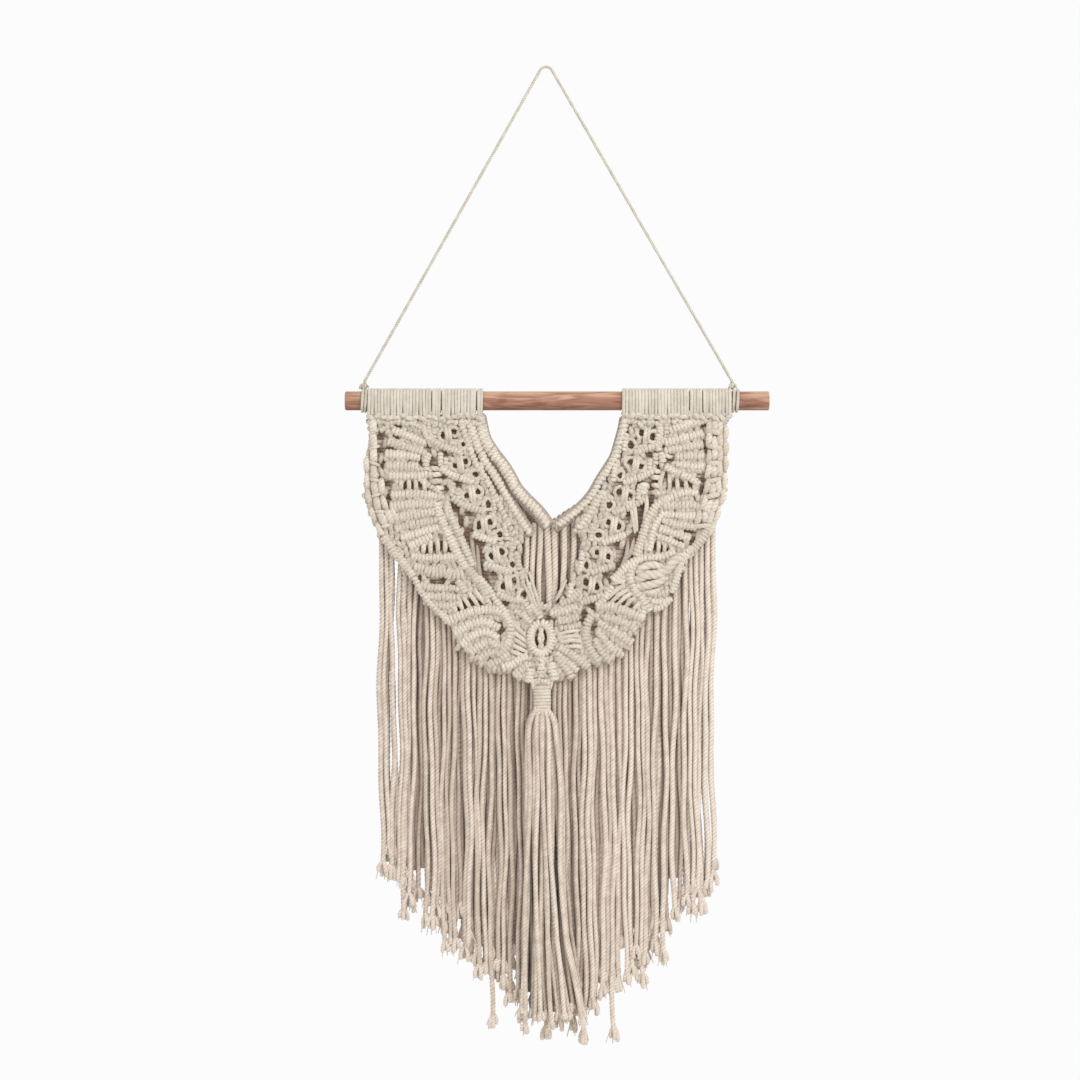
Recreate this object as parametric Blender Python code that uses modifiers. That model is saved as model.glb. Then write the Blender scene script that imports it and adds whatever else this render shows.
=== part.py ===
"""Macrame wall hanging on a wooden dowel.

Units are metres, +Z is up, the front looks towards -Y and +X is to the right of someone who faces it.
The origin is where the hanging cord bends over its hook. Sizes and tables are in millimetres: x is
measured to the right of the hook, and drop is measured down from the dowel's axis.
"""

import math
from collections import namedtuple

import bmesh
import bpy
from mathutils import Matrix, Vector

MM = 0.001

# Dowel, hook and cords
HOOK_TO_DOWEL = 258.8
DOWEL_LEFT = -156.4
DOWEL_LENGTH = 330.0
DOWEL_RADIUS = 7.4
DOWEL_BEVEL = 0.8
HANGING_CORD = 2.5
CLEARANCE = 0.3
HOOK_BEND = 5.2

# Depths, measured from the dowel's axis towards the wall
PANEL_Y = -3.0
FRINGE_Y = 2.0
BACK_FRINGE_Y = 5.8
TASSEL_Y = -5.2

# Heading and ties, wound round the dowel
WRAP_THICKNESS = 2.4
WRAP_GROOVE = 0.7
WRAP_SEGMENTS = 12
KNOT_PITCH = 7.2
TIE_PITCH = 2.7
TIE_KNOT_HALF_WIDTH = 2.9
TIE_KNOT_HALF_HEIGHT = 2.3
CORD_ABOVE_KNOT = 3.9
CORD_STEPS = 30
BEND_SHARES = (-1.0, -0.75, -0.5, -0.25, 0.0, 0.25, 0.5, 0.75, 1.0)

# Knotted panels
PLATE = 2.6
BAR_RADIUS = 3.3
BARS_PER_LEAF = 4
BAND_COLUMNS = 8
GAP_COLUMNS = (3, 5)
GAP_SHARES = (0.3, 0.7)
INNER_EDGE_RADIUS = 2.6
TOP_BAR_RADIUS = 3.9
CHAINED_SECTIONS = 6
LATTICE_HALF = 10.0
LATTICE_TURNS = 13
LATTICE_CROSSING = 0.35
LATTICE_EDGE_RADIUS = 2.4
LATTICE_CORD_RADII = {-1: 2.9, 1: 2.7}
LATTICE_MIDDLE_RADIUS = 1.9
FLOAT_RADIUS = 1.5
SMOOTH_STEPS = 24
PLAIN_SPACING = 26.0

# Fringe and tassel
STRIP_HEIGHT = 5.0
STRIP_DEPTH = 2.6
STRAND_WIDTH = 3.7
STRAND_PITCH = 4.75
TUFT_WIDTH = 4.3
TUFT_LENGTH = 9.0
SWAY = 1.3
STRAND_LAYER = 0.45
FRINGE_INSET = 3.0
UNEVEN_CUT = 8.0

Point = namedtuple("Point", "x drop")
Section = namedtuple("Section", "outer_x outer_drop inner_x inner_drop lift")
Leaf = namedtuple("Leaf", "head foot rim_top rim_middle rim_foot spine_top spine_middle spine_foot lift")
Lattice = namedtuple("Lattice", "head foot")
Ridge = namedtuple("Ridge", "pitch radius groove depth")
Ring = namedtuple("Ring", "share pitch width")

# Knotted rows: one ridge to each pitch, the ridge's radius, the groove between and how deep for its width
CHAIN = Ridge(12.2, 8.2, 1.4, 0.46)
LEAF_EDGE = Ridge(10.0, 4.0, 0.8, 0.85)
COLLAR_EDGE = Ridge(9.0, 5.6, 1.0, 0.7)
COLLAR_ROW = Ridge(14.0, 4.8, 0.8, 0.75)
CENTRE_BAR = Ridge(8.6, 3.3, 0.8, 1.0)

# Spans along the dowel, and the knot of each tie
HEADING_SPANS = {"left": (-138.5, -49.0), "right": (59.2, 144.0)}
TIE_SPANS = {"left": (-143.9, -138.9), "right": (144.3, 150.3)}
TIE_KNOTS = {"left": Point(-141.3, -11.2), "right": Point(144.6, -11.6)}

# The leaf band of each half, from the heading to the centre: its chained outer edge, its inner edge
# and how far it stands forward there.
BANDS = {
    "left": (
        Section(-131.5, 16.0, -88.7, 16.0, 0.0),
        Section(-133.1, 34.4, -87.9, 34.4, 0.4),
        Section(-133.1, 60.1, -85.6, 58.5, 0.0),
        Section(-130.0, 83.4, -79.4, 79.5, 0.6),
        Section(-119.9, 104.4, -70.8, 100.6, 0.4),
        Section(-105.8, 123.9, -62.3, 123.9, 1.6),
        Section(-94.2, 143.4, -52.9, 143.0, 2.4),
        Section(-77.1, 166.7, -39.7, 157.4, 0.6),
        Section(-64.6, 186.2, -30.6, 166.4, 0.4),
        Section(-52.9, 201.7, -28.2, 182.3, 0.4),
        Section(-34.0, 211.3, -28.6, 199.2, 0.0),
    ),
    "right": (
        Section(133.9, 16.0, 90.7, 16.0, 0.0),
        Section(134.6, 34.4, 87.4, 34.4, 0.4),
        Section(133.9, 57.7, 85.6, 53.9, 0.0),
        Section(130.0, 78.8, 84.8, 74.9, 0.6),
        Section(121.4, 98.2, 80.9, 92.8, 0.4),
        Section(106.8, 117.9, 73.2, 112.2, 1.6),
        Section(99.8, 139.5, 63.8, 131.7, 2.6),
        Section(87.2, 157.4, 53.7, 148.8, 0.8),
        Section(72.0, 176.8, 43.0, 160.9, 0.4),
        Section(59.2, 193.4, 36.2, 175.5, 0.4),
        Section(44.0, 203.3, 35.1, 190.1, 0.0),
    ),
}

# Each leaf's bars fan out from its spine to its rim; head and foot count the band's sections.
LEAVES = {
    "left": (
        Leaf(0.35, 1.95, Point(-119.9, 19.5), Point(-125.3, 36.0), Point(-121.9, 58.3),
             Point(-96.0, 30.5), Point(-98.3, 42.5), Point(-93.1, 54.3), 0.4),
        Leaf(2.4, 4.45, Point(-121.9, 73.1), Point(-118.3, 92.2), Point(-102.0, 113.8),
             Point(-88.1, 71.2), Point(-84.2, 88.9), Point(-85.1, 103.9), 0.6),
        Leaf(5.0, 6.7, Point(-101.9, 122.3), Point(-93.0, 138.0), Point(-79.0, 157.5),
             Point(-67.6, 126.1), Point(-68.9, 136.5), Point(-66.8, 147.9), 2.4),
        Leaf(7.25, 9.6, Point(-70.8, 171.0), Point(-60.0, 186.0), Point(-45.5, 202.0),
             Point(-40.0, 167.5), Point(-38.6, 178.2), Point(-33.6, 192.0), 0.4),
    ),
    "right": (
        Leaf(0.3, 1.95, Point(121.6, 18.9), Point(125.0, 37.0), Point(120.1, 60.6),
             Point(92.8, 26.7), Point(98.4, 40.8), Point(92.8, 52.3), 0.4),
        Leaf(2.4, 4.6, Point(121.6, 71.2), Point(122.0, 88.5), Point(105.5, 113.8),
             Point(88.7, 73.3), Point(89.6, 87.3), Point(81.7, 101.7), 0.6),
        Leaf(5.2, 6.8, Point(98.1, 123.0), Point(95.6, 137.6), Point(85.0, 152.5),
             Point(71.2, 122.3), Point(69.7, 133.0), Point(65.0, 143.3), 2.6),
        Leaf(7.3, 9.6, Point(74.9, 166.0), Point(65.5, 182.5), Point(49.2, 196.0),
             Point(47.9, 163.0), Point(43.7, 175.3), Point(39.2, 187.2), 0.4),
    ),
}

# The lattice's midline, and the collar rows that edge the neckline.
LATTICES = {
    "left": Lattice(Point(-79.6, 15.0), Point(-19.0, 167.0)),
    "right": Lattice(Point(80.5, 15.0), Point(27.0, 167.0)),
}
COLLARS = {
    "left": (Point(-52.0, 15.0), Point(-38.6, 39.1), Point(-17.8, 69.0), Point(-2.0, 92.6)),
    "right": (Point(61.5, 15.0), Point(52.0, 47.4), Point(30.6, 73.5), Point(5.4, 95.6)),
}
INNER_COLLARS = {
    "left": (
        (Point(-59.0, 15.0), Point(-43.0, 43.6), Point(-23.9, 75.4), Point(-5.6, 101.6)),
        (Point(-66.6, 15.0), Point(-51.4, 46.0), Point(-32.4, 79.0), Point(-22.0, 97.0)),
    ),
    "right": ((Point(69.0, 15.0), Point(60.8, 45.0), Point(50.0, 70.0), Point(36.0, 93.0)),),
}
TOP_BARS = {
    "left": (Point(-137.0, 13.9), Point(-49.0, 13.9)),
    "right": (Point(57.5, 13.9), Point(141.0, 13.9)),
}

# Where the front strands start and stop beside the leaf bands' outer edges, and the sections between
FRINGE_ENDS = {
    "left": (Point(-131.0, 84.0), Point(-2.0, 216.0)),
    "right": (Point(-1.0, 216.0), Point(133.5, 70.0)),
}
FRINGE_FIRST_SECTION = {"left": 4, "right": 3}

# Where the strands behind the work hang from: under the headings and behind the collar rows
BACK_LINES = {
    "left": (
        Point(-88.0, 18.0),
        Point(-59.0, 18.0),
        Point(-43.0, 43.6),
        Point(-23.9, 75.4),
        Point(-1.0, 100.0),
    ),
    "right": (
        Point(-2.2, 100.0),
        Point(30.6, 78.0),
        Point(50.0, 60.0),
        Point(61.0, 35.0),
        Point(67.0, 18.0),
        Point(90.0, 18.0),
    ),
}

# Knots of the centre: a ring over four knots
RING = Point(-3.9, 184.6)
RING_WIDTH = 9.6
RING_HEIGHT = 13.2
RING_TUBE = 3.6
RING_SIDES = 6
RING_STEPS = 12
CENTRE_KNOTS = (
    Point(-21.0, 208.6),
    Point(-15.6, 202.0),
    Point(-8.6, 210.5),
    Point(1.6, 209.0),
    Point(11.0, 206.8),
)
CENTRE_KNOT_RADIUS = 7.0
CENTRE_KNOT_SHAPE = (1.0, 0.72, 1.1)
CENTRE_BARS = (
    (Point(6.0, 190.2), Point(23.3, 208.1)),
    (Point(8.0, 184.4), Point(34.0, 204.3)),
)
FLOATS = (Point(-25.6, 177.0), Point(-25.6, 184.0), Point(-25.6, 191.0))

# Tassel at the centre
TASSEL_X = -3.1
TASSEL_TOP = 218.8
BINDING_TOP = 222.9
TASSEL_NECK = Point(9.6, 24.2)
TASSEL_NECK_DEPTH = 5.6
BINDING_TURNS = 6
BINDING_PITCH = 3.0
BINDING_HALF_WIDTH = 8.0
BINDING_HALF_DEPTH = 5.4
BINDING_GROOVE = 0.9
BINDING_SIDES = 14
NECK_CUT = 36.0
TASSEL_ACROSS = 6
TASSEL_DEEP = 2
TASSEL_RINGS = (
    Ring(0.05, 2.9, 2.3),
    Ring(0.25, 4.3, 3.4),
    Ring(0.55, 5.2, 3.7),
    Ring(0.96, 6.4, 3.7),
    Ring(1.0, 6.6, 4.4),
)
TASSEL_FOOT = 484.0
TASSEL_DRIFT = 8.0
TASSEL_UNEVEN = 9.0
TASSEL_STRAND_DEPTH = 3.0
TASSEL_LAYER = 4.0
TASSEL_PARTING = 0.2

# The lower edge of the fringe, longest near the centre
HEM_LINE = (
    Point(-130.0, 356.0),
    Point(-117.5, 374.0),
    Point(-94.2, 404.0),
    Point(-74.7, 421.0),
    Point(-51.4, 440.0),
    Point(-35.8, 456.0),
    Point(-12.5, 474.0),
    Point(10.0, 484.0),
    Point(26.5, 484.0),
    Point(42.0, 466.0),
    Point(73.2, 443.0),
    Point(89.5, 430.0),
    Point(104.3, 406.0),
    Point(119.9, 388.0),
    Point(132.0, 382.0),
)
BACK_HEM_RISE = 22.0
FRONT_PHASE = {"left": 0.0, "right": 1.0}
BACK_PHASE = 2.0

COTTON = (0.72, 0.63, 0.50, 1.0)
WOOD = (0.46, 0.22, 0.12, 1.0)


def at(x, drop, y=0.0):
    """A point in metres from x, drop and y in millimetres."""
    return Vector((x, y, -HOOK_TO_DOWEL - drop)) * MM


def clear_scene():
    """Removes what the scene starts with."""
    for obj in list(bpy.data.objects):
        bpy.data.objects.remove(obj, do_unlink=True)


def make_collection(name):
    """A collection of the scene with this name."""
    collection = bpy.data.collections.new(name)
    bpy.context.scene.collection.children.link(collection)
    return collection


def make_material(name, colour, roughness):
    """A plain Principled material."""
    material = bpy.data.materials.new(name)
    material.use_nodes = True
    shader = material.node_tree.nodes["Principled BSDF"]
    shader.inputs["Base Color"].default_value = colour
    shader.inputs["Roughness"].default_value = roughness
    shader.inputs["Metallic"].default_value = 0.0
    material.diffuse_color = colour
    return material


def add_object(name, mesh, collection, material=None):
    """Links a mesh as an object; without a material it is a helper of a Boolean."""
    obj = bpy.data.objects.new(name, mesh)
    collection.objects.link(obj)
    if material:
        mesh.materials.append(material)
    else:
        obj.hide_render = True
        obj.display_type = "WIRE"
    return obj


def mesh_from_bmesh(name, shape):
    """Turns a bmesh into a mesh with its faces pointing out, and frees it."""
    bmesh.ops.recalc_face_normals(shape, faces=shape.faces)
    mesh = bpy.data.meshes.new(name)
    shape.to_mesh(mesh)
    shape.free()
    return mesh


def unite(base, helpers):
    """Joins every helper of a collection to the base with one exact Boolean."""
    modifier = base.modifiers.new(helpers.name, "BOOLEAN")
    modifier.operation = "UNION"
    modifier.solver = "EXACT"
    modifier.operand_type = "COLLECTION"
    modifier.collection = helpers


def smooth_point(points, position):
    """A point of the Catmull-Rom curve through points, where position counts in points."""
    last = len(points) - 1
    start = min(int(position), last - 1)
    share = position - start
    before = points[start - 1] if start > 0 else 2 * points[0] - points[1]
    after = points[start + 2] if start + 2 <= last else 2 * points[last] - points[last - 1]
    first, second = points[start], points[start + 1]
    return 0.5 * (
        2 * first
        + (second - before) * share
        + (2 * before - 5 * first + 4 * second - after) * share**2
        + (3 * first - before - 3 * second + after) * share**3
    )


def smooth_path(points, spacing):
    """Points at an even spacing along the smooth curve through the given ones."""
    steps = SMOOTH_STEPS * (len(points) - 1)
    fine = [smooth_point(points, i / SMOOTH_STEPS) for i in range(steps + 1)]
    lengths = [0.0]
    for here, there in zip(fine, fine[1:]):
        lengths.append(lengths[-1] + (there - here).length)
    count = max(2, round(lengths[-1] / spacing))
    path = []
    index = 0
    for step in range(count + 1):
        wanted = lengths[-1] * step / count
        while index < len(fine) - 2 and lengths[index + 1] < wanted:
            index += 1
        span = lengths[index + 1] - lengths[index]
        path.append(fine[index].lerp(fine[index + 1], (wanted - lengths[index]) / span))
    return path


def cord_curve(name, points, radii, resolution):
    """A capped tube along a POLY spline, as a curve."""
    curve = bpy.data.curves.new(name, "CURVE")
    curve.dimensions = "3D"
    curve.bevel_depth = 1.0 * MM
    curve.bevel_resolution = resolution
    curve.use_fill_caps = True
    spline = curve.splines.new("POLY")
    spline.points.add(len(points) - 1)
    for spot, point, radius in zip(spline.points, points, radii):
        spot.co = (*point, 1.0)
        spot.radius = radius
    return curve


def cord_mesh(name, points, radii, resolution=1, depth=1.0):
    """The same tube as a mesh with welded caps, flattened in depth about its first point."""
    curve = cord_curve(name, points, radii, resolution)
    holder = bpy.data.objects.new(name, curve)
    bpy.context.scene.collection.objects.link(holder)
    graph = bpy.context.evaluated_depsgraph_get()
    mesh = bpy.data.meshes.new_from_object(holder.evaluated_get(graph))
    bpy.data.objects.remove(holder, do_unlink=True)
    bpy.data.curves.remove(curve)
    shape = bmesh.new()
    shape.from_mesh(mesh)
    bpy.data.meshes.remove(mesh)
    bmesh.ops.remove_doubles(shape, verts=shape.verts, dist=0.01 * MM)
    middle = Vector((0.0, points[0].y, 0.0))
    bmesh.ops.scale(
        shape, vec=(1.0, depth, 1.0), verts=shape.verts, space=Matrix.Translation(-middle)
    )
    return mesh_from_bmesh(name, shape)


def ridged_mesh(name, points, ridge):
    """A knotted bar: a tube with one ridge to each pitch, along the smooth curve through points."""
    path = smooth_path(points, ridge.pitch * MM / 2)
    if len(path) % 2 == 0:
        path = smooth_path(points, sum_length(path) / len(path))
    radii = [ridge.radius - ridge.groove * (i % 2 == 0) for i in range(len(path))]
    return cord_mesh(name, path, radii, depth=ridge.depth)


def sum_length(points):
    """The length of the line through points."""
    return sum((b - a).length for a, b in zip(points, points[1:]))


def strand_mesh(name, points, radius):
    """A plain cord of the panel."""
    path = smooth_path(points, PLAIN_SPACING * MM)
    return cord_mesh(name, path, [radius] * len(path))


def build_dowel(parts, wood):
    """The round stick, with its ends' edges taken off."""
    shape = bmesh.new()
    bmesh.ops.create_cone(
        shape,
        cap_ends=True,
        segments=24,
        radius1=DOWEL_RADIUS * MM,
        radius2=DOWEL_RADIUS * MM,
        depth=DOWEL_LENGTH * MM,
        matrix=Matrix.Translation(at(DOWEL_LEFT + DOWEL_LENGTH / 2, 0.0))
        @ Matrix.Rotation(math.pi / 2, 4, "Y"),
    )
    mesh = mesh_from_bmesh("dowel", shape)
    mesh.shade_smooth()
    mesh.set_sharp_from_angle(angle=math.radians(40))
    dowel = add_object("dowel", mesh, parts, wood)
    bevel = dowel.modifiers.new("worn_ends", "BEVEL")
    bevel.width = DOWEL_BEVEL * MM
    bevel.segments = 1
    bevel.limit_method = "ANGLE"
    bevel.angle_limit = math.radians(60)


def wound_sleeve(name, span, pitch, thickness):
    """A ridged sleeve round the dowel, turned from a profile with one ridge to each pitch."""
    start, end = span
    inner = DOWEL_RADIUS + CLEARANCE
    outer = inner + thickness
    ridges = max(1, round((end - start) / pitch))
    step = (end - start) / ridges
    profile = [(start, inner)]
    for ridge in range(ridges):
        left = start + ridge * step
        profile.append((left, outer - WRAP_GROOVE))
        profile.append((left + 0.5 * step, outer))
    profile.append((end, outer - WRAP_GROOVE))
    profile.append((end, inner))
    shape = bmesh.new()
    corners = [shape.verts.new(at(x, 0.0) + Vector((0.0, 0.0, radius * MM))) for x, radius in profile]
    edges = [shape.edges.new(pair) for pair in zip(corners, corners[1:] + corners[:1])]
    bmesh.ops.spin(
        shape,
        geom=corners + edges,
        cent=at(0.0, 0.0),
        axis=(1.0, 0.0, 0.0),
        angle=2 * math.pi,
        steps=WRAP_SEGMENTS,
        use_merge=True,
    )
    return mesh_from_bmesh(name, shape)


def build_heading(side, parts, cotton):
    """The row of lark's head knots that hangs one half on the dowel."""
    name = f"heading_{side}"
    mesh = wound_sleeve(name, HEADING_SPANS[side], KNOT_PITCH, WRAP_THICKNESS)
    add_object(name, mesh, parts, cotton)


def build_tie(side, parts, helpers, cotton):
    """The hanging cord's hitch: its turns round the dowel and the knot on top of them."""
    name = f"tie_{side}"
    mesh = wound_sleeve(name, TIE_SPANS[side], TIE_PITCH, HANGING_CORD)
    tie = add_object(name, mesh, parts, cotton)
    size = (TIE_KNOT_HALF_WIDTH, TIE_KNOT_HALF_WIDTH, TIE_KNOT_HALF_HEIGHT, 1.0)
    shape = bmesh.new()
    bmesh.ops.create_icosphere(
        shape,
        subdivisions=1,
        radius=MM,
        matrix=Matrix.Translation(at(*TIE_KNOTS[side])) @ Matrix.Diagonal(size),
    )
    knots = bpy.data.collections.new(f"{name}_knot")
    helpers.children.link(knots)
    add_object(f"{name}_knot", mesh_from_bmesh(f"{name}_knot", shape), knots)
    return tie, knots


def hanging_route():
    """The cord's points: two taut legs and a round bend over the hook."""
    bend = Vector((0.0, 0.0, HANGING_CORD / 2 - HOOK_BEND)) * MM
    above = Vector((0.0, 0.0, CORD_ABOVE_KNOT * MM))
    left, right = (at(*TIE_KNOTS[side]) + above for side in ("left", "right"))
    arc = []
    for share in BEND_SHARES:
        end = left if share < 0 else right
        turn = share * (math.pi / 2 - math.atan2(abs(end.x), abs(end.z)))
        arc.append(bend + Vector((math.sin(turn), 0.0, math.cos(turn))) * HOOK_BEND * MM)
    first_leg = [left.lerp(arc[0], i / CORD_STEPS) for i in range(CORD_STEPS)]
    last_leg = [arc[-1].lerp(right, (i + 1) / CORD_STEPS) for i in range(CORD_STEPS)]
    return first_leg + arc + last_leg


def build_hanging_cord(parts, cotton):
    """The thin cord that goes over the hook."""
    route = hanging_route()
    curve = cord_curve("hanging_cord", route, [HANGING_CORD / 2] * len(route), 2)
    cord = bpy.data.objects.new("hanging_cord", curve)
    curve.materials.append(cotton)
    parts.objects.link(cord)


def curve_share(first, middle, last, share):
    """A point of the parabola through three points."""
    a = (1 - share) * (1 - 2 * share)
    b = 4 * share * (1 - share)
    c = share * (2 * share - 1)
    return Point(
        a * first.x + b * middle.x + c * last.x, a * first.drop + b * middle.drop + c * last.drop
    )


def mix(first, second, share):
    """A point between two points of the table."""
    return Point(
        first.x + (second.x - first.x) * share, first.drop + (second.drop - first.drop) * share
    )


def edge_point(sections, position, column):
    """A point of the band's outer or inner edge, at a position counted in sections."""
    places = [Vector((getattr(row, f"{column}_x"), getattr(row, f"{column}_drop"))) for row in sections]
    return Point(*smooth_point(places, position))


def leaf_row(sections, leaf, share, thickness):
    """One line across the band: chain, rim, the bar's length, spine and inner edge."""
    position = leaf.head + (leaf.foot - leaf.head) * share
    rim = curve_share(leaf.rim_top, leaf.rim_middle, leaf.rim_foot, share)
    spine = curve_share(leaf.spine_top, leaf.spine_middle, leaf.spine_foot, share)
    places = [edge_point(sections, position, "outer")]
    places += [mix(rim, spine, i / (BAND_COLUMNS - 2)) for i in range(BAND_COLUMNS - 1)]
    places.append(edge_point(sections, position, "inner"))
    depths = [PLATE] + [thickness] * (BAND_COLUMNS - 2) + [(PLATE + thickness) / 2, PLATE]
    lifts = [leaf.lift * math.sin(math.pi * i / BAND_COLUMNS) for i in range(BAND_COLUMNS + 1)]
    return places, depths, lifts


def end_row(section):
    """The plain line across the band at its head or foot."""
    outer = Point(section.outer_x, section.outer_drop)
    inner = Point(section.inner_x, section.inner_drop)
    places = [mix(outer, inner, i / BAND_COLUMNS) for i in range(BAND_COLUMNS + 1)]
    return places, [PLATE] * (BAND_COLUMNS + 1), [0.0] * (BAND_COLUMNS + 1)


def between_rows(above, below, share):
    """A line of bare cords between two leaves."""
    places = [mix(a, b, share) for a, b in zip(above[0], below[0])]
    lifts = [a + (b - a) * share for a, b in zip(above[2], below[2])]
    return places, [PLATE] * (BAND_COLUMNS + 1), lifts


def band_rows(sections, leaves):
    """Every line across the band from head to foot, and the rows of cells that hold the gaps."""
    rows = [end_row(sections[0])]
    gap_rows = []
    steps = 2 * (BARS_PER_LEAF - 1)
    for leaf in leaves:
        fan = []
        for step in range(steps + 1):
            thickness = 2 * BAR_RADIUS if step % 2 == 0 else PLATE
            fan.append(leaf_row(sections, leaf, step / steps, thickness))
        if len(rows) > 1:
            gap_rows.append(len(rows))
            above = rows[-1]
            rows += [between_rows(above, fan[0], share) for share in GAP_SHARES]
        rows += fan
    rows.append(end_row(sections[-1]))
    return rows, gap_rows


def band_mesh(name, sections, leaves):
    """The leaf band: ribbed where its bars fan out, and open where bare cords cross between leaves."""
    rows, gap_rows = band_rows(sections, leaves)
    shape = bmesh.new()
    last = len(rows) - 1
    bmesh.ops.create_grid(shape, x_segments=BAND_COLUMNS, y_segments=last, size=1.0)
    thickness = shape.verts.layers.float.new("thickness")
    opened = []
    for face in shape.faces:
        middle = face.calc_center_median()
        column = int((middle.x + 1.0) / 2.0 * BAND_COLUMNS)
        row = int((1.0 - middle.y) / 2.0 * last)
        if row in gap_rows and column in GAP_COLUMNS:
            opened.append(face)
    for vert in shape.verts:
        column = round((vert.co.x + 1.0) / 2.0 * BAND_COLUMNS)
        places, depths, lifts = rows[round((1.0 - vert.co.y) / 2.0 * last)]
        vert.co = at(places[column].x, places[column].drop, PANEL_Y - lifts[column])
        vert[thickness] = depths[column] * MM
    bmesh.ops.delete(shape, geom=opened, context="FACES")
    front = bmesh.ops.extrude_face_region(shape, geom=shape.faces[:])["geom"]
    front_verts = {item for item in front if isinstance(item, bmesh.types.BMVert)}
    for vert in shape.verts:
        side = -0.5 if vert in front_verts else 0.5
        vert.co.y += side * vert[thickness]
    return mesh_from_bmesh(name, shape)


def lattice_strands(lattice):
    """The lattice's cords: two that cross between diamonds, one down the middle and two at the edges."""
    head, foot = at(*lattice.head, PANEL_Y), at(*lattice.foot, PANEL_Y)
    along = foot - head
    across = Vector((along.z, 0.0, -along.x)).normalized() * LATTICE_HALF * MM
    over = Vector((0.0, LATTICE_CROSSING * MM, 0.0))
    meshes = []
    for side, radius in LATTICE_CORD_RADII.items():
        swing = []
        for turn in range(LATTICE_TURNS + 1):
            aside = across * side * (turn % 2) * 0.86
            swing.append(head.lerp(foot, turn / LATTICE_TURNS) + aside + over * side)
        meshes.append(cord_mesh(f"swing_{side}", swing, [radius] * len(swing)))
        low = head.lerp(foot, 0.8) + across * side * 1.04
        edge = [head + across * side * 1.08, low, foot + across * side * 0.9]
        meshes.append(strand_mesh(f"lattice_edge_{side}", edge, LATTICE_EDGE_RADIUS))
    turns = range(0, LATTICE_TURNS + 1, 2)
    middle = [head.lerp(foot, turn / LATTICE_TURNS) - 2 * over for turn in turns]
    meshes.append(cord_mesh("lattice_middle", middle, [LATTICE_MIDDLE_RADIUS] * len(middle)))
    return meshes


def table_path(points):
    """A table's points as places in the panels' plane."""
    return [at(point.x, point.drop, PANEL_Y) for point in points]


def build_panel(side, parts, helpers, cotton):
    """One half of the knotted work: leaf band, lattice and collar, fused where they are knotted."""
    name = f"panel_{side}"
    panel = add_object(name, band_mesh(name, BANDS[side], LEAVES[side]), parts, cotton)
    outer = table_path([Point(row.outer_x, row.outer_drop) for row in BANDS[side]])
    inner = table_path([Point(row.inner_x, row.inner_drop) for row in BANDS[side]])
    meshes = [
        ridged_mesh("chain", outer[:CHAINED_SECTIONS], CHAIN),
        ridged_mesh("leaf_edge", outer[CHAINED_SECTIONS - 2 :], LEAF_EDGE),
        ridged_mesh("collar_edge", table_path(COLLARS[side]), COLLAR_EDGE),
        strand_mesh("inner_edge", inner, INNER_EDGE_RADIUS),
        strand_mesh("top_bar", table_path(TOP_BARS[side]), TOP_BAR_RADIUS),
    ]
    for index, row in enumerate(INNER_COLLARS[side]):
        meshes.append(ridged_mesh(f"collar_row_{index}", table_path(row), COLLAR_ROW))
    meshes += lattice_strands(LATTICES[side])
    cords = bpy.data.collections.new(f"{name}_cords")
    helpers.children.link(cords)
    for mesh in meshes:
        add_object(f"{name}_{mesh.name}", mesh, cords)
    return panel, cords


def ring_mesh():
    """The upright ring of the centre, turned and then drawn taller."""
    shape = bmesh.new()
    section = bmesh.ops.create_circle(shape, segments=RING_SIDES, radius=RING_TUBE * MM)["verts"]
    centre = at(*RING, PANEL_Y)
    turned = Matrix.Rotation(math.pi / 2, 4, "Z") @ Matrix.Rotation(math.pi / 2, 4, "X")
    place = Matrix.Translation(centre + Vector((0.0, 0.0, RING_WIDTH * MM)))
    bmesh.ops.transform(shape, verts=section, matrix=place @ turned)
    bmesh.ops.spin(
        shape,
        geom=shape.verts[:] + shape.edges[:],
        cent=centre,
        axis=(0.0, 1.0, 0.0),
        angle=2 * math.pi,
        steps=RING_STEPS,
        use_merge=True,
    )
    bmesh.ops.scale(
        shape,
        vec=(1.0, 1.0, RING_HEIGHT / RING_WIDTH),
        verts=shape.verts,
        space=Matrix.Translation(-centre),
    )
    return mesh_from_bmesh("centre_knot", shape)


def knot_mesh(name, knot):
    """One round knot of the centre, flattened towards the wall."""
    shape = bmesh.new()
    bmesh.ops.create_icosphere(
        shape,
        subdivisions=1,
        radius=CENTRE_KNOT_RADIUS * MM,
        matrix=Matrix.Translation(at(*knot, PANEL_Y)) @ Matrix.Diagonal((*CENTRE_KNOT_SHAPE, 1.0)),
    )
    return mesh_from_bmesh(name, shape)


def build_centre(parts, helpers, cotton):
    """The ring and the knots that join the two halves."""
    ring = add_object("centre_knot", ring_mesh(), parts, cotton)
    meshes = [knot_mesh(f"knot_{index}", knot) for index, knot in enumerate(CENTRE_KNOTS)]
    for index, ends in enumerate(CENTRE_BARS):
        meshes.append(ridged_mesh(f"centre_bar_{index}", table_path(ends), CENTRE_BAR))
    for index, end in enumerate(FLOATS):
        line = table_path([end, Point(RING.x - RING_WIDTH, end.drop)])
        meshes.append(cord_mesh(f"float_{index}", line, [FLOAT_RADIUS] * len(line)))
    knots = bpy.data.collections.new("centre_knots")
    helpers.children.link(knots)
    for mesh in meshes:
        add_object(mesh.name, mesh, knots)
    return ring, knots


def line_drop(line, x):
    """The drop at x of a line of points that run from left to right."""
    for left, right in zip(line, line[1:]):
        if x <= right.x:
            share = max(0.0, (x - left.x) / (right.x - left.x))
            return left.drop + (right.drop - left.drop) * share
    return line[-1].drop


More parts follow.
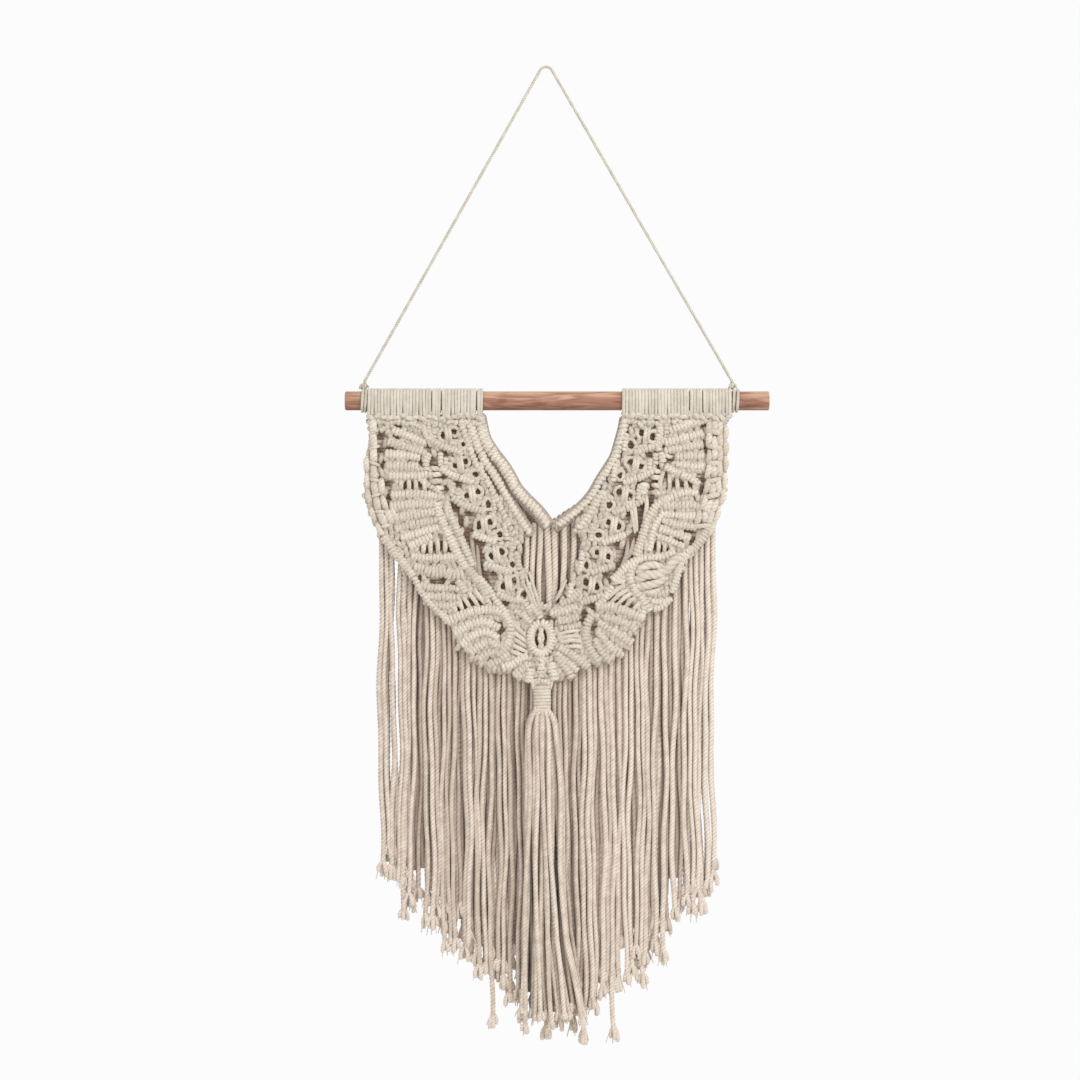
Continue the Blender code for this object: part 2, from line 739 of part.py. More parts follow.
def strand_end(index, x, rise):
    """Where strand number index ends: the hem line, unevenly cut."""
    uneven = UNEVEN_CUT * (math.sin(2.4 * index) + 0.8 * math.sin(1.1 * index + 0.8) - 1.0)
    return line_drop(HEM_LINE, x) + uneven - rise


def sway_at(x, share, phase):
    """The sideways drift of the strands near x, at a share of their length."""
    return SWAY * share * (math.sin(0.035 * x + phase) + 0.8 * math.sin(3.5 * share + 0.02 * x + phase))


def fringe_line(side):
    """The line the front strands hang from, a little inside the leaf band's outer edge."""
    start, stop = FRINGE_ENDS[side]
    edge = [
        Point(row.outer_x, row.outer_drop - FRINGE_INSET)
        for row in BANDS[side][FRINGE_FIRST_SECTION[side] :]
    ]
    return [start, *sorted(edge), stop]


def build_fringe(name, line, y, rise, phase, parts, cotton):
    """A narrow strip of knots along an edge, with its strands hanging from it side by side."""
    first, last = line[0].x, line[-1].x
    count = int((last - first + STRAND_PITCH - STRAND_WIDTH) / STRAND_PITCH)
    shape = bmesh.new()
    cells = 2 * count - 1
    bmesh.ops.create_grid(shape, x_segments=cells, y_segments=1, size=1.0)
    for vert in shape.verts:
        column = round((vert.co.x + 1.0) / 2.0 * cells)
        x = first + STRAND_PITCH * (column // 2) + STRAND_WIDTH * (column % 2)
        top = line_drop(line, x)
        drop = top if vert.co.y > 0 else top + STRIP_HEIGHT
        vert.co = at(x, drop, y + STRIP_DEPTH)
    front = bmesh.ops.extrude_face_region(shape, geom=shape.faces[:])["geom"]
    moved = [item for item in front if isinstance(item, bmesh.types.BMVert)]
    bmesh.ops.translate(shape, verts=moved, vec=(0.0, -STRIP_DEPTH * MM, 0.0))
    bmesh.ops.recalc_face_normals(shape, faces=shape.faces)
    under = [face for face in shape.faces if face.normal.z < -0.2 and abs(face.normal.y) < 0.5]
    under.sort(key=lambda face: face.calc_center_median().x)
    for index, face in enumerate(under[::2]):
        hang_strand(shape, face, index, y, rise, phase)
    add_object(name, mesh_from_bmesh(name, shape), parts, cotton)


def hang_strand(shape, face, index, y, rise, phase):
    """Extrudes one strand down from a face under the strip, to a tuft at its end."""
    middle = face.calc_center_median() / MM
    root = -middle.z - HOOK_TO_DOWEL
    foot = strand_end(index, middle.x, rise)
    length = foot - root
    neck = 1.0 - TUFT_LENGTH / length
    rings = ((0.33, STRAND_WIDTH), (0.68, STRAND_WIDTH), (neck, STRAND_WIDTH), (1.0, TUFT_WIDTH))
    layer = STRAND_LAYER * (-1) ** index
    for share, width in rings:
        made = bmesh.ops.extrude_discrete_faces(shape, faces=[face])["faces"]
        face = made[0]
        centre = Vector((
            middle.x + sway_at(middle.x, share, phase),
            y + STRIP_DEPTH / 2 + layer,
            -HOOK_TO_DOWEL - root - length * share,
        ))
        place_ring(face, centre, width, STRIP_DEPTH)


def place_ring(face, centre, width, depth):
    """Moves a four-cornered face to a level rectangle about a centre given in millimetres."""
    old = face.calc_center_median()
    for vert in face.verts:
        x = math.copysign(width / 2, vert.co.x - old.x)
        y = math.copysign(depth / 2, vert.co.y - old.y)
        vert.co = (centre + Vector((x, y, 0.0))) * MM


def build_tassel(parts, cotton):
    """The tassel: a neck under its binding and the strands that spread below it."""
    shape = bmesh.new()
    bmesh.ops.create_grid(shape, x_segments=TASSEL_ACROSS, y_segments=TASSEL_DEEP, size=0.5)
    for vert in shape.verts:
        x = TASSEL_X + vert.co.x * TASSEL_NECK.x
        y = TASSEL_Y + vert.co.y * TASSEL_NECK_DEPTH
        vert.co = at(x, TASSEL_TOP, y)
    foot = bmesh.ops.extrude_face_region(shape, geom=shape.faces[:])["geom"]
    moved = [item for item in foot if isinstance(item, bmesh.types.BMVert)]
    bmesh.ops.translate(shape, verts=moved, vec=(0.0, 0.0, -TASSEL_NECK.drop * MM))
    bmesh.ops.recalc_face_normals(shape, faces=shape.faces)
    under = [face for face in shape.faces if face.normal.z < -0.9]
    under.sort(key=lambda face: (round(face.calc_center_median().y, 4), face.calc_center_median().x))
    root = TASSEL_TOP + TASSEL_NECK.drop
    for index, face in enumerate(under):
        column = index % TASSEL_ACROSS - (TASSEL_ACROSS - 1) / 2
        row = index // TASSEL_ACROSS - (TASSEL_DEEP - 1) / 2
        bmesh.ops.inset_individual(shape, faces=[face], thickness=TASSEL_PARTING * MM)
        length = TASSEL_FOOT - TASSEL_UNEVEN * abs(math.sin(1.7 * index)) - root
        for ring in TASSEL_RINGS:
            face = bmesh.ops.extrude_discrete_faces(shape, faces=[face])["faces"][0]
            centre = Vector((
                TASSEL_X + TASSEL_DRIFT * ring.share + column * ring.pitch,
                TASSEL_Y + row * TASSEL_LAYER,
                -HOOK_TO_DOWEL - root - length * ring.share,
            ))
            place_ring(face, centre, ring.width, TASSEL_STRAND_DEPTH)
    add_object("tassel", mesh_from_bmesh("tassel", shape), parts, cotton)


def build_binding(parts, cotton):
    """The cord wound round the tassel's neck, as a ridged ring."""
    shape = bmesh.new()
    rings = []
    for half_turn in range(2 * BINDING_TURNS + 1):
        share = 1.0 if half_turn % 2 else BINDING_GROOVE
        ring = bmesh.ops.create_circle(shape, segments=BINDING_SIDES, radius=share)["verts"]
        centre = at(TASSEL_X, BINDING_TOP + half_turn * BINDING_PITCH / 2, TASSEL_Y)
        size = Matrix.Diagonal((BINDING_HALF_WIDTH * MM, BINDING_HALF_DEPTH * MM, 1.0, 1.0))
        bmesh.ops.transform(shape, verts=ring, matrix=Matrix.Translation(centre) @ size)
        rings.append(list({edge for vert in ring for edge in vert.link_edges}))
    for above, below in zip(rings, rings[1:]):
        bmesh.ops.bridge_loops(shape, edges=above + below)
    bmesh.ops.holes_fill(shape, edges=rings[0] + rings[-1], sides=BINDING_SIDES)
    return add_object("tassel_binding", mesh_from_bmesh("tassel_binding", shape), parts, cotton)


def cut_neck_hole(binding, helpers):
    """Opens the binding for the neck, with clearance all round."""
    shape = bmesh.new()
    centre = at(TASSEL_X, TASSEL_TOP + TASSEL_NECK.drop / 2, TASSEL_Y)
    bmesh.ops.create_cube(shape, size=MM)
    size = (TASSEL_NECK.x + 2 * CLEARANCE, TASSEL_NECK_DEPTH + 2 * CLEARANCE, NECK_CUT)
    bmesh.ops.scale(shape, vec=size, verts=shape.verts)
    bmesh.ops.translate(shape, vec=centre, verts=shape.verts)
    cutter = add_object("neck_cutter", mesh_from_bmesh("neck_cutter", shape), helpers)
    modifier = binding.modifiers.new("neck", "BOOLEAN")
    modifier.operation = "DIFFERENCE"
    modifier.solver = "EXACT"
    modifier.object = cutter


def main():
    """Builds every piece of the hanging."""
    clear_scene()
    parts = make_collection("macrame_wall_hanging")
    helpers = make_collection("cutters")
    cotton = make_material("natural_cotton_cord", COTTON, 0.9)
    wood = make_material("dowel_wood", WOOD, 0.6)
    build_dowel(parts, wood)
    joined = [build_centre(parts, helpers, cotton)]
    for side in ("left", "right"):
        joined.append(build_tie(side, parts, helpers, cotton))
        joined.append(build_panel(side, parts, helpers, cotton))
        build_heading(side, parts, cotton)
        build_fringe(f"fringe_{side}", fringe_line(side), FRINGE_Y, 0.0, FRONT_PHASE[side], parts, cotton)
        name = f"fringe_back_{side}"
        build_fringe(name, BACK_LINES[side], BACK_FRINGE_Y, BACK_HEM_RISE, BACK_PHASE, parts, cotton)
    build_hanging_cord(parts, cotton)
    build_tassel(parts, cotton)
    cut_neck_hole(build_binding(parts, cotton), helpers)
    for base, pieces in joined:
        unite(base, pieces)


main()
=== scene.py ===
"""Macrame wall hanging of twisted cotton cord on a wooden dowel.

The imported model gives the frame: metres, +Z up, the front looks towards -Y, and the origin is where the
hanging cord bends over its hook. Sizes and tables here are in millimetres: x is measured to the right
of the hook, and drop is measured down from the dowel's axis.
"""

import logging
import math
from collections.abc import Sequence
from dataclasses import dataclass, field
from enum import Enum

import bmesh
import bpy
import numpy as np
from mathutils import Matrix, Vector


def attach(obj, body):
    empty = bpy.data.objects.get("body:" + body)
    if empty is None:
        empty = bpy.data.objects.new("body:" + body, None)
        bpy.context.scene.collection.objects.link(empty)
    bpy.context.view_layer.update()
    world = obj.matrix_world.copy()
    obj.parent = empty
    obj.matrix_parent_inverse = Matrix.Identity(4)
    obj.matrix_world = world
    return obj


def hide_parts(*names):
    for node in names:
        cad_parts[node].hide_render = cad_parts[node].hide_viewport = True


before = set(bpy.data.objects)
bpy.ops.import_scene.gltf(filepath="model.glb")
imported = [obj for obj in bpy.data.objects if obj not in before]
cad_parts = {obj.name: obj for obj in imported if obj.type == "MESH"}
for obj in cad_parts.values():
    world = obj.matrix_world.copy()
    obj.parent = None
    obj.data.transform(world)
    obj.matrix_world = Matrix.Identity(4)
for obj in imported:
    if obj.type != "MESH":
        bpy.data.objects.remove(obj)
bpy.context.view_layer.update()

LOG = logging.getLogger("macrame")
MM = 0.001
HOOK_TO_DOWEL = 258.8
DOWEL_RADIUS = 7.4
BODY = "root"
COTTON_SLOT = "cotton_cord"
HANGING_SLOT = "hanging_cord"
WELD = 1e-7
TINY = 1e-9
CURVE_STEPS = 12

# A cord's rounded end, in its own radii: how far past the end its point, its shoulder and the step
# between them lie, and the shoulder's size
CAP_POINT = 0.5
CAP_SHOULDER = 0.38
CAP_STEP = 0.12
CAP_WIDTH = 0.68

# Where the painted shade on a cord's sides starts and where it ends again at the back, by the cosine
# of the angle to its face
SIDES_FROM = 0.45
BACK_UNTIL = -0.95
BACK_FADE = 0.5

# The core that shows between a coil's turns, a cord with painted shade: how far within them it lies,
# in radii of their rope, its least sizes and the distance between its points, in mm, and its painted
# shade
CORE_INSET = 1.1
CORE_SINK = 1.3
CORE_LEAST = 0.6
CORE_LEAST_DEPTH = 0.5
CORE_SPACING = 2.5
CORE_SHADE = 0.4

# How far a coil's turns slip along it, in pitches, where they are wholly uneven
TURN_SLIP = 0.6

# The seed of each piece's uneven hand
SEEDS = {
    "hook_cord": 3,
    "hook_hitch_left": 5,
    "hook_hitch_right": 6,
    "larks_head_row_left": 11,
    "larks_head_row_right": 12,
    "knotted_panel_left": 21,
    "knotted_panel_right": 22,
    "centre_ring_knots": 31,
    "front_strands_left": 41,
    "front_strands_right": 42,
    "back_strands_left": 43,
    "back_strands_right": 44,
    "tassel_strands": 51,
    "tassel_wrapping": 52,
}

TOWARDS_VIEWER = np.array((0.0, -1.0, 0.0))
ALONG_DOWEL = np.array((1.0, 0.0, 0.0))

Spot = tuple[float, float]


class Side(Enum):
    """Which half of the hanging."""

    LEFT = "left"
    RIGHT = "right"

    @property
    def sign(self) -> float:
        """-1 for the left half and 1 for the right one."""
        return -1.0 if self is Side.LEFT else 1.0


@dataclass(frozen=True)
class Lay:
    """How a cord is twisted.

    Carved cords have their grooves in the mesh, with the mesh's rows running along the plies. The others
    leave the grooves to the material. A cord's sides carry painted shade, darker than its face by dim, and
    its back, which lies open to the wall's side, is left as light as its face.
    """

    turn: float = 10.0
    plies: int = 3
    sides: int = 7
    groove: float = 0.0
    carved: bool = False
    dim: float = 0.0


# dim is the painted shade on each kind of cord's sides. The lightly shaded strand carries little of it, as
# painted light for the better-lit right half of the fringe and for the strands in the V
FRONT_STRAND = Lay(turn=9.0, sides=9, groove=0.2, carved=True, dim=0.95)
OPEN_STRAND = Lay(turn=9.0, sides=9, groove=0.2, carved=True, dim=0.45)
LIT_STRAND = Lay(turn=9.0, sides=9, groove=0.2, carved=True, dim=0.25)
BACK_STRAND = Lay(turn=12.0, sides=6, groove=0.18, carved=True, dim=0.7)
THICK_CORD = Lay(turn=15.0, sides=12, groove=0.16, carved=True, dim=0.5)
THIN_CORD = Lay(turn=6.0, sides=9, groove=0.26, carved=True)
KNOTTED = Lay(turn=7.0, sides=6, dim=0.55)
WRAP = Lay(turn=5.0, sides=7, dim=0.25)
HIDDEN = Lay(turn=9.0, sides=5, dim=0.3)
FIBRE = Lay(turn=4.0, sides=5)
LOCK = Lay(turn=7.0, sides=5, dim=0.3)


def place(x: float, drop: float, y: float = 0.0) -> np.ndarray:
    """A working point, in millimetres from the dowel's axis."""
    return np.array((x, y, -drop))


def line_of(spots: Sequence[Spot], y: float) -> np.ndarray:
    """Working points at one depth, from a table of x and drop."""
    return np.array([(x, y, -drop) for x, drop in spots])


def smooth(points: np.ndarray, spacing: float) -> np.ndarray:
    """Points at an even spacing along the Catmull-Rom curve through the given ones.

    Args:
        points: The points that the curve passes, one to a row.
        spacing: The wanted distance between the new points.

    Returns:
        The new points, with both ends kept.
    """
    padded = np.vstack((2 * points[0] - points[1], points, 2 * points[-1] - points[-2]))
    share = np.linspace(0.0, 1.0, CURVE_STEPS + 1)[:-1, None]
    pieces = []
    for before, here, there, after in zip(padded, padded[1:], padded[2:], padded[3:]):
        pieces.append(
            0.5
            * (
                2 * here
                + (there - before) * share
                + (2 * before - 5 * here + 4 * there - after) * share**2
                + (3 * here - before - 3 * there + after) * share**3
            )
        )
    return resample(np.vstack((*pieces, points[-1:])), spacing)


def resample(path: np.ndarray, spacing: float) -> np.ndarray:
    """The same line with its points at an even spacing.

    Args:
        path: The points of the line.
        spacing: The wanted distance between the new points.

    Returns:
        The new points, with both ends kept.
    """
    lengths = distances(path)
    count = max(2, round(lengths[-1] / spacing) + 1)
    wanted = np.linspace(0.0, lengths[-1], count)
    return np.column_stack([np.interp(wanted, lengths, path[:, axis]) for axis in range(3)])


def distances(path: np.ndarray) -> np.ndarray:
    """How far along the line each of its points lies."""
    steps = np.linalg.norm(np.diff(path, axis=0), axis=1)
    return np.concatenate(((0.0,), np.cumsum(steps)))


def tangents(path: np.ndarray) -> np.ndarray:
    """Unit directions along the line."""
    along = np.gradient(path, axis=0)
    return along / np.maximum(np.linalg.norm(along, axis=1, keepdims=True), TINY)


def upright(normals: np.ndarray, along: np.ndarray) -> np.ndarray:
    """Unit normals at right angles to the line, as near as can be to the given ones.

    Args:
        normals: One direction, or one to a point.
        along: The line's unit directions.

    Returns:
        One normal to a point.
    """
    wanted = np.broadcast_to(normals, along.shape)
    wanted = wanted - along * np.sum(wanted * along, axis=1, keepdims=True)
    return wanted / np.maximum(np.linalg.norm(wanted, axis=1, keepdims=True), TINY)


def drop_at(line: Sequence[Spot], x: float) -> float:
    """The drop at x of a line of spots that run from left to right."""
    return float(np.interp(x, [spot[0] for spot in line], [spot[1] for spot in line]))


@dataclass
class Run:
    """One length of cord, ready to become a tube: its line, and at each point its front, size and shade."""

    path: np.ndarray
    normals: np.ndarray
    radii: np.ndarray
    shades: np.ndarray
    lay: Lay
    tone: float
    phase: float
    flat: float


class CordWork:
    """Gathers lengths of cord and makes one closed mesh of them."""

    def __init__(self, name: str) -> None:
        """Starts a piece with no cord. Every chance comes from the piece's own seed.

        Args:
            name: The piece's name.
        """
        self.name = name
        self.runs: list[Run] = []
        self.chance = np.random.default_rng(SEEDS[name])

    def rope(
        self,
        path: np.ndarray,
        radius: float | np.ndarray,
        lay: Lay = KNOTTED,
        facing: np.ndarray = TOWARDS_VIEWER,
        shade: float | np.ndarray = 0.0,
        flat: float = 1.0,
        tone: float | None = None,
    ) -> None:
        """Adds a cord with rounded ends.

        Args:
            path: Its centreline.
            radius: Its radius, one for all or one to a point.
            lay: How it is twisted.
            facing: A direction, or one to a point, that is never along the line.
            shade: Painted shade, from 0 in the open to 1 deep in the work.
            flat: Its thickness along facing, as a share of its width.
            tone: From -1, darker, to 1, lighter. By chance where none is given.
        """
        along = tangents(path)
        radii = np.broadcast_to(np.asarray(radius, float), (len(path),)).copy()
        shades = np.broadcast_to(np.asarray(shade, float), (len(path),))
        normals = upright(facing, along)
        first, last = along[0] * radii[0], along[-1] * radii[-1]
        start = (path[0] - CAP_POINT * first, path[0] - CAP_SHOULDER * first)
        path = np.vstack((*start, path, path[-1] + CAP_SHOULDER * last))
        path = np.vstack((path, path[-1] + CAP_STEP * last))
        radii = np.concatenate(((0.0, CAP_WIDTH * radii[0]), radii, (CAP_WIDTH * radii[-1], 0.0)))
        normals = np.vstack((normals[:1], normals[:1], normals, normals[-1:], normals[-1:]))
        shades = np.concatenate((shades[:1], shades[:1], shades, shades[-1:], shades[-1:]))
        if tone is None:
            tone = float(self.chance.uniform(-1.0, 1.0))
        phase = float(self.chance.uniform(0.0, 1.0))
        self.runs.append(Run(path, normals, radii, shades, lay, tone, phase, flat))

    def coil(
        self,
        axis: np.ndarray,
        wide: float | tuple[float, float],
        deep: float,
        pitch: float,
        rope: float,
        lean: float = 0.0,
        pairs: float = 0.0,
        uneven: float = 0.06,
        swell: float = 0.0,
        points: int = 7,
        core: bool = True,
        flat: float = 0.8,
    ) -> None:
        """Winds a cord in close turns round a line, as a row of hitches does.

        Args:
            axis: The points of the line.
            wide: Half the coil's width, outside, the same all along or at its two ends.
            deep: Half its depth, outside.
            pitch: The distance between turns.
            rope: The cord's radius.
            lean: How far a turn slants across the front.
            pairs: How much each second turn draws near the one before, in pitches.
            uneven: How much the turns differ, as a share.
            swell: How much fuller the middle is than the ends, as a share.
            points: Points to a turn.
            core: Whether a cord shows between the turns.
            flat: How far the cord stands out, as a share of its width.
        """
        line = smooth(axis, pitch / points)
        along = tangents(line)
        depth = upright(TOWARDS_VIEWER, along)
        across = np.cross(along, depth)
        count = len(line)
        turn = np.arange(count) / points
        angle = math.tau * turn - math.pi / 2
        knots = np.arange(int(turn[-1]) + 3)
        wobble = [
            np.interp(turn, knots, 1.0 + uneven * self.chance.standard_normal(len(knots)))
            for _ in range(2)
        ]
        slips = TURN_SLIP * uneven * pitch * self.chance.standard_normal(len(knots))
        shift = np.interp(turn, knots, slips)
        share = turn / turn[-1]
        full = 1.0 - swell * (2.0 * share - 1.0) ** 2
        wide = np.interp(share, (0.0, 1.0), np.broadcast_to(wide, (2,)))
        half_wide = (wide - rope) * wobble[0] * full
        half_deep = (deep - rope) * wobble[1] * full
        cos, sin = np.cos(angle), np.sin(angle)
        slide = lean * cos + shift + pairs * pitch * np.sin(math.pi * turn)
        path = (
            line
            + across * (half_wide * cos)[:, None]
            + depth * (half_deep * sin)[:, None]
            + along * slide[:, None]
        )
        outward = across * (half_deep * cos)[:, None] + depth * (half_wide * sin)[:, None]
        self.rope(path, rope, facing=outward, flat=flat)
        if core:
            inner = smooth(axis, max(CORE_SPACING, pitch))
            size = np.interp(np.linspace(0.0, 1.0, len(inner)), share, wide) - CORE_INSET * rope
            size = np.maximum(size, CORE_LEAST)
            thin = max(deep - CORE_SINK * rope, CORE_LEAST_DEPTH) / float(size.max())
            self.rope(inner, size, HIDDEN, TOWARDS_VIEWER, CORE_SHADE, thin)

    def finish(self, material: bpy.types.Material, slot: str, *replaced: str) -> bpy.types.Object:
        """Makes the gathered cords one piece of the hanging.

        Args:
            material: The piece's finish.
            slot: The name of a material slot, handed on to add_piece.
            replaced: The solids that it stands for.

        Returns:
            The piece, which rides on the part's one body.
        """
        groups = [
            [run for run in self.runs if run.lay.sides == sides]
            for sides in sorted({run.lay.sides for run in self.runs})
        ]
        shape = bmesh.new()
        self.lay_grids(shape, groups)
        mesh = bpy.data.meshes.new(self.name)
        shape.to_mesh(mesh)
        shape.free()
        self.shape_mesh(mesh, groups)
        shape = bmesh.new()
        shape.from_mesh(mesh)
        seams = [vert for vert in shape.verts if vert.select]
        bmesh.ops.remove_doubles(shape, verts=seams, dist=WELD)
        shape.to_mesh(mesh)
        shape.free()
        mesh.shade_smooth()
        piece = add_piece(self.name, mesh, material, slot, *replaced)
        triangles = sum(len(polygon.vertices) - 2 for polygon in mesh.polygons)
        LOG.info("%s: %d cords, %d triangles", self.name, len(self.runs), triangles)
        return piece

    @staticmethod
    def lay_grids(shape: bmesh.types.BMesh, groups: list[list[Run]]) -> None:
        """Adds a strip of faces for each cord: one grid to a group, parted between one cord and the next.

        Args:
            shape: The mesh that gets the strips.
            groups: The cords, those with equally many sides together.
        """
        between = []
        for runs in groups:
            sides = runs[0].lay.sides
            lengths = [len(run.path) for run in runs]
            cells = sum(lengths) - 1
            before = len(shape.faces)
            bmesh.ops.create_grid(shape, x_segments=cells, y_segments=sides, size=1.0)
            ends = np.cumsum(lengths)[:-1] - 1
            between += [before + row * cells + int(end) for row in range(sides) for end in ends]
        shape.faces.ensure_lookup_table()
        bmesh.ops.delete(shape, geom=[shape.faces[index] for index in between], context="FACES")

    @staticmethod
    def shape_mesh(mesh: bpy.types.Mesh, groups: list[list[Run]]) -> None:
        """Wraps the strips round their lines, and writes their map and attributes.

        Args:
            mesh: The mesh of strips.
            groups: The cords, as they were laid.
        """
        places, maps, tones, shades, seams = [], [], [], [], []
        for runs in groups:
            sides = runs[0].lay.sides
            tubes = [tube_of(run) for run in runs]
            places.append(np.concatenate([tube[0] for tube in tubes], axis=1).reshape(-1, 3))
            maps.append(np.concatenate([tube[1] for tube in tubes], axis=1).reshape(-1, 2))
            counts = [len(run.path) for run in runs]
            tone = np.repeat([run.tone for run in runs], counts)
            tones.append(np.tile(tone, sides + 1))
            shades.append(np.concatenate([tube[2] for tube in tubes], axis=1).ravel())
            seam = np.zeros((sides + 1, sum(counts)), bool)
            seam[0] = seam[-1] = True
            stops = np.cumsum(counts)
            seam[:, stops - 1] = True
            seam[:, stops - counts] = True
            seams.append(seam.ravel())
        points = np.vstack(places) * MM
        points[:, 2] -= HOOK_TO_DOWEL * MM
        mesh.vertices.foreach_set("co", points.astype(np.float32).ravel())
        mesh.vertices.foreach_set("select", np.concatenate(seams))
        corners = np.empty(len(mesh.loops), np.int32)
        mesh.loops.foreach_get("vertex_index", corners)
        layer = mesh.uv_layers.new(name="cord")
        layer.data.foreach_set("uv", np.vstack(maps)[corners].astype(np.float32).ravel())
        for name, values in (("tone", tones), ("shade", shades)):
            attribute = mesh.attributes.new(name, "FLOAT", "POINT")
            attribute.data.foreach_set("value", np.concatenate(values).astype(np.float32))


def tube_of(run: Run) -> tuple[np.ndarray, np.ndarray, np.ndarray]:
    """The surface of one cord.

    Args:
        run: The cord.

    Returns:
        Its points, by side and then along it, its map, and its painted shades. The map has metres along it,
        and turns round it with each ply at a steady place.
    """
    lay = run.lay
    along = tangents(run.path)
    normals = upright(run.normals, along)
    across = np.cross(normals, along)
    way = distances(run.path)
    turns = way / lay.turn + run.phase
    side = np.arange(lay.sides + 1)[:, None]
    around = math.tau * side / lay.sides
    radii = np.broadcast_to(run.radii, (lay.sides + 1, len(way)))
    if lay.carved:
        in_groove = side % (lay.sides // lay.plies) == 0
        radii = radii * np.where(in_groove, 1.0 - lay.groove, 1.0)
        angle = around - math.tau * turns
        ply = np.broadcast_to(side / lay.sides, radii.shape)
    else:
        angle = np.broadcast_to(around, radii.shape)
        ply = side / lay.sides + turns
    points = (
        run.path
        + (radii * np.cos(angle) * run.flat)[..., None] * normals
        + (radii * np.sin(angle))[..., None] * across
    )
    ways = np.broadcast_to(way * MM, radii.shape)
    facing = np.cos(angle)
    # Painted shade on the cord's sides, by the lay's dim, faded out again towards its back
    shades = np.clip(run.shades + lay.dim * np.clip(SIDES_FROM - facing, 0.0, 1.0), 0.0, 1.0)
    shades = shades * np.clip((facing - BACK_UNTIL) / BACK_FADE, 0.0, 1.0)
    return points, np.stack((ways, ply), axis=-1), shades


def add_piece(
    name: str, mesh: bpy.types.Mesh, material: bpy.types.Material, slot: str, *replaced: str
) -> bpy.types.Object:
    """Links a mesh as a piece of the hanging.

    Args:
        name: The piece's name.
        mesh: Its mesh, in place.
        material: Its finish.
        slot: The name of a material slot; not used.
        replaced: The solids that it stands for.

    Returns:
        The piece.
    """
    piece = bpy.data.objects.new(name, mesh)
    bpy.context.scene.collection.objects.link(piece)
    mesh.materials.append(material)
    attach(piece, BODY)
    if replaced:
        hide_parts(*replaced)
    return piece


def linear(colour: str) -> tuple[float, float, float, float]:
    """A linear colour from an sRGB hex value.

    Args:
        colour: The value, as #RRGGBB.

    Returns:
        Linear red, green and blue, and an alpha of 1.
    """
    parts = [int(colour[i : i + 2], 16) / 255 for i in (1, 3, 5)]
    red, green, blue = (c / 12.92 if c <= 0.04045 else ((c + 0.055) / 1.055) ** 2.4 for c in parts)
    return red, green, blue, 1.0


def add_node(
    tree: bpy.types.NodeTree,
    kind: str,
    links: dict[str | int, bpy.types.NodeSocket] | None = None,
    values: dict[str | int, object] | None = None,
    **settings: object,
) -> bpy.types.Node:
    """Adds a node with its settings, input values and links.

    Args:
        tree: The material's or world's nodes.
        kind: The node's type.
        links: Inputs, by name or number, and what feeds each.
        values: Inputs, by name or number, and the value of each.
        settings: Properties of the node.

    Returns:
        The node.
    """
    node = tree.nodes.new(kind)
    for name, value in settings.items():
        setattr(node, name, value)
    for socket, value in (values or {}).items():
        node.inputs[socket].default_value = value
    for socket, source in (links or {}).items():
        tree.links.new(source, node.inputs[socket])
    return node


def start_material(
    name: str, roughness: float
) -> tuple[bpy.types.Material, bpy.types.NodeTree, bpy.types.Node]:
    """Adds a material of one roughness.

    Args:
        name: The material's name.
        roughness: Its roughness, the same all over.

    Returns:
        The material, its nodes and its shader.
    """
    material = bpy.data.materials.new(name)
    material.use_nodes = True
    tree = material.node_tree
    shader = tree.nodes["Principled BSDF"]
    shader.inputs["Roughness"].default_value = roughness
    return material, tree, shader


